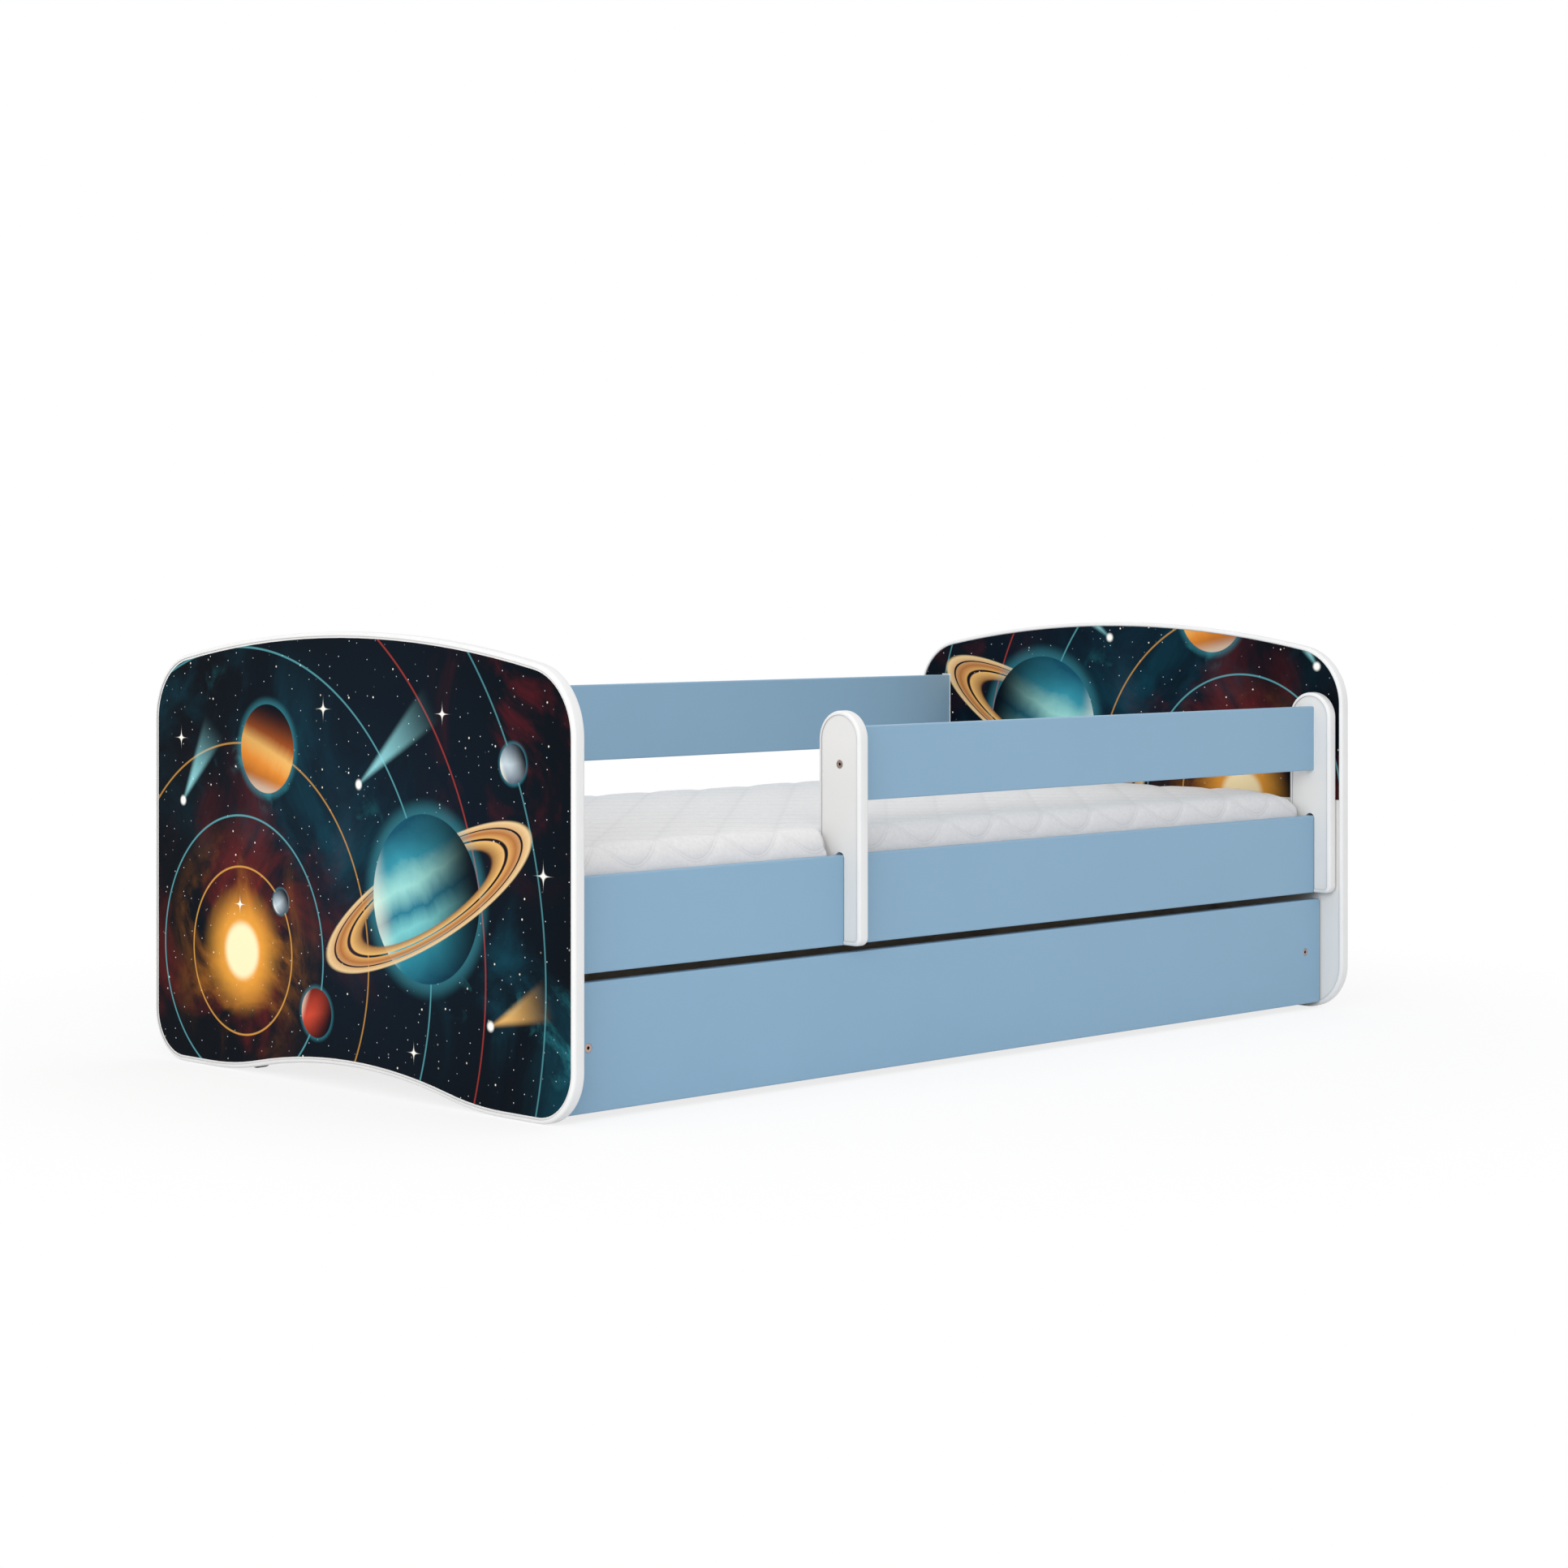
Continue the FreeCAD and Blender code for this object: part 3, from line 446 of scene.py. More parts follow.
    def rings(under, centre, radius, lean, front):
        """Rings seen at a slant: bands of dust with two gaps, the near half over the ball."""
        flatness, edge = 0.26, 0.001
        level = along(centre, lean)
        over = beside(centre, lean) * (1 / flatness)
        width = (level * level + over * over).root() * (1 / radius)
        dust = width.fade(1.30, 1.38) * width.fade(2.14, 2.06)
        for gap, core, brim in ((1.62, 0.02, 0.05), (1.92, 0.01, 0.03)):
            dust = dust * abs(width - gap).fade(core, brim)
        half = over.fade(edge, -edge) if front else over.fade(-edge, edge)
        sand = [(0.0, (120, 74, 40)), (0.35, (236, 186, 112)), (0.6, (176, 112, 60)),
                (1.0, (244, 214, 160))]
        shade = tones(((width - 1.3) * 1.2).output, sand)
        return lay(under, shade, dust * half * 0.92)

    teal = [(0.0, (18, 66, 88)), (0.22, (44, 130, 148)), (0.38, (120, 196, 198)),
            (0.48, (40, 118, 140)), (0.62, (150, 210, 204)), (0.78, (52, 140, 158)),
            (1.0, (22, 78, 100))]
    amber = [(0.0, (112, 52, 22)), (0.3, (214, 132, 52)), (0.5, (240, 186, 104)),
             (0.66, (190, 96, 40)), (1.0, (120, 54, 26))]
    brick = [(0.0, (86, 24, 22)), (0.5, (196, 72, 52)), (1.0, (104, 30, 26))]
    slate = [(0.0, (70, 84, 98)), (0.5, (188, 202, 210)), (1.0, (80, 96, 110))]
    giant, giant_radius, giant_lean = (0.165, 0.27), 0.112, 0.42
    sky = rings(sky, giant, giant_radius, giant_lean, front=False)
    sky = planet(sky, giant, giant_radius, giant_lean, teal, 7.0)
    sky = rings(sky, giant, giant_radius, giant_lean, front=True)
    sky = planet(sky, (-0.19, 0.456), 0.062, -0.3, amber, 11.0)
    sky = planet(sky, (-0.075, 0.098), 0.034, 0.2, brick, 16.0)
    sky = planet(sky, (0.345, 0.455), 0.026, 0.1, slate, 22.0)
    sky = planet(sky, (-0.158, 0.245), 0.018, 0.5, slate, 26.0)

    def comet(under, head, lean, length, colour):
        """A comet: a bright head and a tail that widens and fades over its length."""
        behind, aside = along(head, lean), abs(beside(head, lean))
        wide = behind * (0.03 / length) + 0.004
        tail = (aside - wide).fade(0.0, -0.012) * behind.fade(length, 0.0)
        under = lay(under, colour, tail * behind.fade(-0.002, 0.004) * 0.9)
        return lay(under, (252, 252, 244), reach(head).fade(0.009, 0.003))

    sky = comet(sky, (0.02, 0.415), 0.62, 0.20, (150, 220, 226))
    sky = comet(sky, (0.30, 0.115), 0.36, 0.13, (244, 190, 110))
    sky = comet(sky, (-0.395, 0.375), 0.95, 0.14, (150, 220, 226))

    sparkles = (((-0.06, 0.515), 0.0046), ((0.405, 0.315), 0.005), ((-0.255, 0.235), 0.004),
                ((0.20, 0.515), 0.0042), ((0.14, 0.065), 0.004), ((-0.40, 0.465), 0.0042))
    for centre, size in sparkles:
        side, above = offset(centre)
        cross = (abs(side) * abs(above)).root() + reach(centre) * 0.18
        sky = lay(sky, (255, 252, 240), cross.fade(size, size * 0.35))

    sheen = grain(place, scale=240.0, detail=3.0)
    coat(shader, sky, sheen, smooth=0.34, rough=0.46)
    relief(shader, grain(place, scale=520.0), depth=0.00005, strength=0.4)
    return material


paint(night_sky("foot_print", 0.0, (1, 1, 1)), "footboard_print")
paint(night_sky("head_print", -0.15, (1, -0.95, 0.95)), "headboard_print")


# ---- Side panels and back rail -------------------------------------------------------------
# The long panels between the end boards and the rail along the back are chipboard with a pale
# blue melamine face and a thin edge band of the same blue, ironed on and rounded at the arris.

blue_board = melamine("blue_board", (138, 172, 197), (136, 170, 195))
paint(blue_board, "side_panel_front", "side_panel_back", "back_rail")


# ---- Fittings of the frame -----------------------------------------------------------------
# Zinc eccentric discs in the inner faces pull steel bolts in the end boards, with beech dowels
# beside them. They hold the panels to the end boards and can be undone with a screwdriver.

def plated(name, colour, shade, smooth, rough):
    """Plated metal: a dull tone, clouded gloss and the tumbler's fine lines, with painted shade in
    recesses.
    """
    material, shader, place = new_material(name, {"Metallic": 1.0})
    clouds = grain(place, scale=90.0, detail=5.0)
    tone = tones(clouds, [(noise_low, shade), (noise_high, colour)])
    # Painted shade: marked recesses are mixed towards a dark tone where shade falls in them.
    tone = mixed(marked(shader, "recess"), tone, (46, 42, 40))
    coat(shader, tone, clouds, smooth, rough)
    relief(shader, grain(place, scale=1500.0, detail=3.0), depth=0.00002, strength=0.5)
    return material


def timber(name, pale, dark, along, ring_width):
    """Planed wood: growth lines run along the piece, wander with slow noise and hold fine pores."""
    material, shader, place = new_material(name, {"Specular IOR Level": 0.3})
    line_draw, pore_draw = np.ones(3), np.ones(3)
    line_draw[along], pore_draw[along] = 0.06, 0.03
    wander = Field(grain(place, 9.0, 3.0, line_draw))
    lines = Field(grain(place, 1 / ring_width, 3.0, line_draw, roughness=0.45, warp=0.8))
    pores = grain(place, 900.0, 2.0, pore_draw)
    growth = lines * 0.72 + wander * 0.28
    tone = tones(growth.output, [(0.34, dark), (0.47, pale), (0.58, pale), (0.72, dark)])
    coat(shader, tone, pores, smooth=0.5, rough=0.66)
    relief(shader, pores, depth=0.00008, strength=0.5)
    return material


def lathed(start, direction, radius, depth, recess):
    """A patch about a direction, one row for each ring, its radius and depth given for every angle,
    and how much painted shade each point takes as it lies in a recess, from 0 to 1."""
    angle = np.linspace(0, 2 * pi, radius.shape[1], endpoint=False)[:, None]
    axis, first = np.array(direction, float), np.array([0.0, 0.0, 1.0])
    ring = np.cos(angle) * first + np.sin(angle) * np.cross(axis, first)
    grid = np.array(start) + depth[..., None] * axis + radius[..., None] * ring
    return patch(grid, ring_columns=True), np.broadcast_to(recess, radius.shape).ravel()


def turned(name, parts, material):
    """One object from lathed parts, their painted recess shade kept as a mark for the material."""
    patches, recesses = zip(*parts)
    return piece(name, patches, material, recess=np.concatenate(recesses))


def cross_head(start, direction, head, height, shank, length, dome=0.0):
    """A screw or disc with a cross slot. Rings cover the face from its middle, domed by dome * r^2,
    then the rim and shank; the slot is a dip where the smaller of |x| and |y| is under slot_half.
    The slot's own sizes are shares of the head's radius."""
    slot_half, slot_wall, slot_reach, slot_end, slot_depth = 0.15, 0.03, 0.62, 0.08, 0.3
    rim_round, slot_shadow = 0.04, 0.8
    angle = np.linspace(0, 2 * pi, 64, endpoint=False)
    face = np.linspace(0, 0.93, 14)
    share = np.concatenate([face, [1.0, 1.0, shank / head, shank / head, 0.0]])[:, None]
    radius = np.repeat(share * head, len(angle), axis=1)
    narrow = np.minimum(abs(radius * np.cos(angle)), abs(radius * np.sin(angle))) / head
    slot = np.clip((slot_half - narrow) / slot_wall, 0, 1)
    slot = slot * np.clip((slot_reach - share) / slot_end, 0, 1)
    depth = dome * share ** 2
    depth[len(face):, 0] = [dome + rim_round * head, height, height, length, length]
    # Painted shade: the slot's shadow goes to the material with the recess marks.
    return lathed(start, direction, radius, depth + slot * slot_depth * head, slot * slot_shadow)


zinc = plated("fitting_zinc", (186, 187, 189), (160, 161, 164), 0.34, 0.5)
bolt_steel = plated("fastener_steel", (196, 197, 200), (170, 171, 175), 0.26, 0.4)
paint(bolt_steel, "cam_bolts")
beech = timber("dowel_beech", (214, 178, 138), (190, 148, 106), 0, 0.004)
paint(beech, "frame_dowels", "guard_dowels", "drawer_dowels")

disc_setback, disc_edge, disc_above_slat = 0.034, 0.032, 0.018
disc = {"head": 0.0072, "height": 0.0125, "shank": 0.0072, "length": 0.0125}
slat_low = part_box("slat_01")[0][2]
discs = []
for panel, face in (("side_panel_front", 1), ("side_panel_back", -1), ("back_rail", 1)):
    low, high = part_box(panel)
    face_y = high[1] if face > 0 else low[1]
    first_z = low[2] + disc_edge if panel == "back_rail" else slat_low + disc_above_slat
    discs += [cross_head((end * (high[0] - disc_setback), face_y, z), (0, -face, 0), **disc)
              for end in (-1, 1) for z in (first_z, high[2] - disc_edge)]
discs = turned("cam_discs_turned", discs, zinc)
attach(discs, "frame")
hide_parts("cam_discs")


# ---- Slatted base --------------------------------------------------------------------------
# Two pine battens are screwed to the side panels, and twelve planed pine slats lie across them.
# A woven tape stapled under the slats near each end keeps them at their spacing.

def larger(first, second):
    """The larger of two numbers."""
    return Field(first).step("MAXIMUM", Field(second)).output


def weave(place, scale, waver, detail):
    """Two crossed sets of waves that waver with noise, the higher one on top at each point."""
    inputs = {"Vector": place, "Scale": scale, "Distortion": waver, "Detail": detail}
    waves = [add(place, "ShaderNodeTexWave", inputs, bands_direction=axis)[1] for axis in "XY"]
    return larger(*waves)


def webbing(name, colour, shade):
    """Woven tape: warp and weft as two crossed waves of 1.6 mm, darker where a thread dips."""
    material, shader, place = new_material(name, {"Roughness": 0.85, "Specular IOR Level": 0.2})
    thread = weave(place, scale=98.0, waver=0.4, detail=2.0)
    feed(shader, "Base Color", tones(thread, [(0.3, shade), (0.9, colour)]))
    relief(shader, thread, depth=0.0004, strength=0.8)
    return material


def middle(name):
    """The middle of a CAD node's box."""
    return np.mean(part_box(name), axis=0)


pine_across = timber("pine_slats", (226, 196, 152), (203, 163, 112), 1, 0.009)
pine_along = timber("pine_battens", (224, 193, 149), (200, 160, 110), 0, 0.007)
tape = webbing("woven_tape", (232, 230, 224), (186, 183, 176))
paint(pine_across, *[f"slat_{k:02d}" for k in range(1, 13)])
paint(pine_along, "slat_batten_front", "slat_batten_back")
paint(tape, "slat_tape_front", "slat_tape_back")

batten_screw = {"head": 0.0034, "height": 0.0004, "shank": 0.0016, "length": 0.03}
screws = []
for batten, face in (("slat_batten_front", 1), ("slat_batten_back", -1)):
    low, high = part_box(batten)
    face_y, reach = (high[1] if face > 0 else low[1]), high[0] - (high[2] - low[2])
    screws += [cross_head((x, face_y, middle(batten)[2]), (0, -face, 0), **batten_screw)
               for x in np.linspace(-reach, reach, 5)]
screws = turned("batten_screws_turned", screws, bolt_steel)
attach(screws, "frame")
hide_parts("batten_screws")


# ---- Guard ---------------------------------------------------------------------------------
# A blue rail between two white posts that hook over the front side panel. The posts' rims have
# the same soft edging, open at the slot, and a socket screw at each end holds the rail.

def post_rim():
    """The edged part of a post's rim: up the rear leg, over the round top, down in front, round the
    heel and along the front leg's bottom to the slot, as one open path of lines and arcs."""
    low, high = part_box("guard_post_left_edging")
    radius, heel = (high[1] - low[1]) / 2, 0.012
    mid_y, spring = (low[1] + high[1]) / 2, high[2] - radius
    slot_y, rear_low = -0.425, 0.256
    return np.vstack([
        straight((high[1], rear_low), (high[1], spring), (1, 0), 16),
        bend((mid_y, spring), radius, 0, pi, 48),
        straight((low[1], spring), (low[1], low[2] + heel), (-1, 0), 20),
        bend((low[1] + heel, low[2] + heel), heel, pi, 1.5 * pi, 10),
        straight((low[1] + heel, low[2]), (slot_y, low[2]), (0, -1), 4),
        [[slot_y, low[2], 0, -1]],
    ])


paint(blue_board, "guard_rail")
guard_rim = post_rim()
for side in ("left", "right"):
    post = "guard_post_" + side
    strip = edging_strip(post + "_edging_strip", post, guard_rim, closed=False)
    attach(strip, "guard")
    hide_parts("guard_post_" + side + "_edging")

screw_head, screw_height, screw_shank, screw_length = 0.006, 0.0016, 0.003, 0.05
socket_flats, socket_depth = 0.004, 0.003


def socket_screw(start, direction):
    """A flat-headed socket screw: rings of radius and depth, from the socket's floor out over the
    head and down the shank. The socket's radius follows a hexagon, half its flats divided by the
    cosine of the angle from the nearest flat."""
    bevel, bevel_depth, face_ring = 0.0003, 0.00005, 0.0042
    head_round = ((0.0006, 0), (0.0002, 0.0001), (0, 0.0004))
    point_inset, point_length, shadow = 0.0008, 0.001, 0.9
    angle = np.linspace(0, 2 * pi, 48, endpoint=False)
    hexagon = socket_flats / 2 / np.cos((angle + pi / 6) % (pi / 3) - pi / 6)
    socket = [(0, socket_depth), (hexagon, socket_depth), (hexagon, bevel)]
    rings = socket + [(hexagon + bevel, bevel_depth), (face_ring, 0)]
    rings += [(screw_head - inset, deep) for inset, deep in head_round]
    rings += [(screw_head, screw_height), (screw_shank, screw_height)]
    rings += [(screw_shank, screw_length - point_length), (screw_shank - point_inset, screw_length)]
    rings += [(0, screw_length)]
    radius = np.array([np.broadcast_to(ring, angle.shape) for ring, _ in rings])
    depth = np.array([np.full_like(angle, deep) for _, deep in rings])
    # Painted shade: the socket's floor and walls take a shadow in the material.
    recess = np.zeros((len(rings), 1))
    recess[:len(socket)] = shadow
    return lathed(start, direction, radius, depth, recess)


bronze = plated("screw_bronze", (196, 174, 166), (170, 148, 140), 0.3, 0.44)
left_low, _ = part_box("guard_post_left")
_, right_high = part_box("guard_post_right")
_, rail_y, rail_z = middle("guard_rail")
screws = turned("guard_socket_screws", [
    socket_screw((left_low[0], rail_y, rail_z), (1, 0, 0)),
    socket_screw((right_high[0], rail_y, rail_z), (-1, 0, 0)),
], bronze)
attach(screws, "guard")
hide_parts("guard_screws")


# ---- Drawer --------------------------------------------------------------------------------
# A long drawer with a blue front and a white box, screwed and dowelled at the corners. A hardboard
# bottom slides in grooves over a cross brace, white on top and brown below.

def hardboard(name, white, brown, top):
    """Hardboard: a smooth white lacquer on the upper face and pressed brown fibre elsewhere."""
    material, shader, place = new_material(name, {"Specular IOR Level": 0.3})
    fibre = grain(place, scale=420.0, detail=6.0, roughness=0.7)
    dark_brown = (*(0.75 * part for part in linear(brown)[:3]), 1.0)
    under = tones(fibre, [(noise_low, dark_brown), (noise_high, brown)])
    height = add(place, "ShaderNodeSeparateXYZ", {0: place})[2]
    upper = between(height, top - 0.0004, top - 0.0001, 0.0, 1.0)
    tone = mixed(upper, under, white)
    coat(shader, tone, upper, 0.75, 0.4, low=0.0, high=1.0)
    relief(shader, fibre, depth=0.00006, strength=0.5)
    return material


paint(blue_board, "drawer_front")
paint(white_board, "drawer_side_left", "drawer_side_right", "drawer_back", "drawer_bottom_brace")
_, bottom_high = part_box("drawer_bottom")
lacquered = hardboard("hardboard", (226, 226, 224), (142, 104, 70), bottom_high[2])
paint(lacquered, "drawer_bottom")

front_low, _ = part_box("drawer_front")
_, side_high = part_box("drawer_side_right")
front_z, back_y = middle("drawer_front")[2], middle("drawer_back")[1]
side_x = middle("drawer_side_right")[0]
screws = turned("drawer_socket_screws", [
    socket_screw((end * side_x, front_low[1], front_z), (0, 1, 0)) for end in (-1, 1)
] + [
    socket_screw((end * side_high[0], back_y, front_z), (-end, 0, 0)) for end in (-1, 1)
], bronze)
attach(screws, "drawer")
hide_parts("drawer_screws")


# ---- Drawer wheels -------------------------------------------------------------------------
# Each wheel is moulded in grey plastic with a rounded tread and a hollow outer face. It turns on a
# riveted steel axle in a stamped bracket, which two screws hold to the drawer's side.

def moulded(name, colour, shade):
    """Moulded plastic: a fine spark-eroded texture and a scuffed tone that varies on the tread."""
    material, shader, place = new_material(name, {"Specular IOR Level": 0.4})
    scuff = grain(place, scale=160.0, detail=5.0)
    tone = tones(scuff, [(0.35, shade), (0.65, colour)])
    coat(shader, tone, scuff, smooth=0.42, rough=0.6)
    relief(shader, grain(place, scale=1800.0), depth=0.00004, strength=0.6)
    return material


def wheel(name, outward):
    """A wheel as a closed section of distance along the axle and radius, turned once round: hub,
    rounded tread and the hollow of the outer face, with every edge rounded by a short arc."""
    low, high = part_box(name)
    _, centre_y, centre_z = middle(name)
    width, radius = high[0] - low[0], (high[2] - low[2]) / 2
    bore, rim, hollow, bulge, edge = 0.00305, 0.004, 0.004, 0.0016, 0.0006
    face_rings, rim_ring = (0.006, 0.003), 0.0012
    root_rise, root_upper, root_lower = 0.001, 0.0004, 0.0014
    quarter = np.linspace(0, pi / 2, 6)
    cosine, sine = np.cos(quarter), np.sin(quarter)
    tread, floor, lip = radius - bulge, width - hollow, radius - rim
    section = np.vstack([
        [[0.0, bore + edge]] + [[0.0, radius - ring] for ring in face_rings],
        np.column_stack([bulge - bulge * cosine, tread + bulge * sine]),
        np.column_stack([width - bulge + bulge * sine, tread + bulge * cosine]),
        [[width, lip + rim_ring]],
        np.column_stack([width - edge + edge * cosine, lip + edge - edge * sine]),
        [[floor + root_rise, lip - root_upper], [floor, lip - root_lower]],
        [[floor, bore + edge], [floor - edge, bore], [edge, bore]],
    ])
    turn = np.linspace(0, 2 * pi, 56, endpoint=False)[:, None]
    start = low[0] if outward > 0 else high[0]
    along = np.broadcast_to(start + outward * section[:, 0], (len(turn), len(section)))
    across, above = section[:, 1] * np.cos(turn), section[:, 1] * np.sin(turn)
    return patch(np.stack([along, centre_y + across, centre_z + above], axis=2), True, True)


wheel_plastic = moulded("wheel_plastic", (92, 94, 97), (74, 76, 79))
bracket_steel = plated("bracket_steel", (190, 192, 195), (160, 162, 166), 0.32, 0.5)
bracket_screw = {"head": 0.004, "height": 0.0022, "shank": 0.0017, "length": 0.018, "dome": 0.0008}
screw_apart, screw_drop = 0.013, 0.009
rivet_radius, rivet_height, rivet_dome, axle_share = 0.005, 0.0025, 0.0011, 0.59
rivet_face = np.linspace(0, 1, 8)
rivet_share = np.concatenate([rivet_face, [1.0, axle_share, axle_share, 0.0]])[:, None]
screws, rivets = [], []
for corner in ("front_left", "front_right", "back_left", "back_right"):
    outward = -1 if corner.endswith("left") else 1
    tyre = piece("wheel_" + corner + "_turned", [wheel("wheel_" + corner, outward)], wheel_plastic)
    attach(tyre, "wheel_" + corner)
    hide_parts("wheel_" + corner)
    paint(bracket_steel, "wheel_bracket_" + corner)

    low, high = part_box("wheel_bracket_" + corner)
    _, hub_y, hub_z = middle("wheel_" + corner)
    face_x, wall_x = (high[0], low[0]) if outward > 0 else (low[0], high[0])
    head_x, screw_z = face_x + outward * bracket_screw["height"], high[2] - screw_drop
    screws += [cross_head((head_x, hub_y + apart, screw_z), (-outward, 0, 0), **bracket_screw)
               for apart in (-screw_apart, screw_apart)]
    end_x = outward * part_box("wheel_axles")[1][0]
    axle_length = abs(end_x - wall_x)
    depth = rivet_dome * rivet_share ** 2
    depth[len(rivet_face):, 0] = [rivet_height, rivet_height, axle_length, axle_length]
    radius = np.repeat(rivet_share * rivet_radius, 32, axis=1)
    rivets.append(lathed((end_x, hub_y, hub_z), (-outward, 0, 0), radius, depth, 0.0))
screws = turned("bracket_screws_turned", screws, bolt_steel)
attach(screws, "drawer")
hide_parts("bracket_screws")
rivets = turned("wheel_axles_turned", rivets, bracket_steel)
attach(rivets, "drawer")
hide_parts("wheel_axles")


# ---- Mattress ------------------------------------------------------------------------------
# A foam mattress in a white knitted cover. The top is quilted in diamonds, and over the rim the
# stitching hangs in scallops above the plain side. The guard's posts press two dents in its front.

quilt_puff, quilt_reach = 0.0024, 0.018
quilt_squares, quilt_cells = 4, 18
diamonds_long, diamonds_wide, diamond_cells = 14, 7, 22
cover_rim, cover_fall, cover_foot, scallop = 0.028, 0.050, 0.010, 0.040


def off_whole(number):
    """How far a number is from the nearest whole number."""
    return abs(number - np.round(number))


def raised(distance):
    """Height of the cover at a distance from a seam: a quarter ellipse, quilt_reach wide."""
    return quilt_puff * np.sqrt(1 - (1 - np.clip(distance / quilt_reach, 0, 1)) ** 2)


def quilt_patch(spacing):
    """Heights of the cover over four by four squares of the quilt, found by a cloth simulation.

    A flat sheet is pinned along its stitch lines. It is cut a little larger than its frame, and
    pressure blows it out for 20 frames without gravity, so the squares differ and wrinkle beside
    the thread. The foam keeps their tops flat, so a hyperbolic tangent levels them at quilt_puff.
    """
    line = np.arange(quilt_squares * quilt_cells + 1) / quilt_cells
    u, v = np.meshgrid(line, line, indexing="ij")
    distance = np.minimum(off_whole(u), off_whole(v)) * spacing
    unlike = 1 + 0.25 * np.sin(u * 5.3 + 1.1) * np.sin(v * 4.7 + 0.3)
    start = np.stack([u * spacing, v * spacing, 0.3 * raised(distance) * unlike], axis=2)
    points, quads, _ = patch(start)
    mesh = bpy.data.meshes.new("quilt_patch")
    mesh.from_pydata(points.tolist(), [], quads.tolist())
    sheet = placed("quilt_patch", mesh)
    stitches = sheet.vertex_groups.new(name="stitches")
    stitches.add(np.flatnonzero(distance < 1e-6).tolist(), 1.0, "REPLACE")
    cloth = sheet.modifiers.new("cover", "CLOTH")
    cloth.collision_settings.use_collision = False
    settings = cloth.settings
    settings.vertex_group_mass = "stitches"
    settings.effector_weights.gravity = 0.0
    settings.use_pressure = True
    settings.uniform_pressure_force = 4.0
    settings.mass = 0.002
    settings.shrink_min = -0.006
    settings.bending_stiffness = 0.05
    for number in range(1, 21):
        scene.frame_set(number)
    settled = sheet.evaluated_get(bpy.context.evaluated_depsgraph_get()).data
    height = np.empty(len(points) * 3, np.float32)
    settled.vertices.foreach_get("co", height)
    height = np.clip(height[2::3].reshape(u.shape), 0, None)
    scene.frame_set(1)
    bpy.data.objects.remove(sheet)
    bpy.data.meshes.remove(mesh)
    return quilt_puff * np.tanh(2.0 * height / np.percentile(height, 95))


def cover_section(height):
    """Section of the cover outside the crease: over a quarter of an ellipse, down the side, round
    the foot and in under the base. Each ring's distance out and down, its normal's two parts, its
    run along the section, and the run at which the foot starts."""
    inner, wall = cover_rim - quilt_puff, height - cover_fall - cover_foot
    roll = np.linspace(0, pi / 2, 21)
    drop = np.linspace(0, 1, 16)[1:]
    tuck = np.linspace(0, pi / 2, 6)[1:]
    upright = np.ones_like(drop)
    slope = np.hypot(cover_fall * np.sin(roll), inner * np.cos(roll))
    runs = (
        (inner * np.sin(roll), inner * upright, inner - cover_foot * (1 - np.cos(tuck)), [0.0]),
        (cover_fall * (1 - np.cos(roll)), cover_fall + wall * drop,
         cover_fall + wall + cover_foot * np.sin(tuck), [height]),
        (cover_fall * np.sin(roll) / slope, upright, np.cos(tuck), [0.0]),
        (inner * np.cos(roll) / slope, 0 * upright, -np.sin(tuck), [-1.0]),
    )
    out, down, normal_out, normal_up = (np.concatenate(parts)[:, None] for parts in runs)
    steps = np.hypot(np.diff(out, axis=0, prepend=0), np.diff(down, axis=0, prepend=0))
    run = np.cumsum(steps, axis=0)
    return out, down, normal_out, normal_up, run, run[len(roll) + len(drop) - 1]


def crease_path(x_line, y_line, period_x, period_y):
    """The crease round the top, fanned out at the corners: rows of x, y, the angle that the side
    faces, and the scallop's hang as a share of its depth, |cos(pi * x)| or |sin(pi * y)| in quilt
    periods, with its slope."""
    fan = 10
    front, end = np.full_like(x_line, y_line[-1]), np.full_like(y_line, x_line[-1])
    turn = np.linspace(0, pi / 2, fan + 2)[1:-1]
    side_phase = pi * x_line / period_x + pi / 2
    end_phase = pi * y_line / period_y
    corner = np.ones(fan)
    rows = []
    for way, back in ((1, 0.0), (-1, pi)):
        for x, y, facing, phase, period in (
            (x_line[::way], -way * front, back - pi / 2, side_phase[::way], period_x),
            (way * end, y_line[::way], back, end_phase[::way], period_y),
        ):
            hang, lean = abs(np.sin(phase)), pi * scallop / period * abs(np.cos(phase))
            rows.append(np.column_stack([x, y, np.full_like(x, facing), hang, lean]))
            x, y = corner * x[-1], corner * y[-1]
            rows.append(np.column_stack([x, y, facing + turn, corner, 0 * corner]))
    return np.vstack(rows)


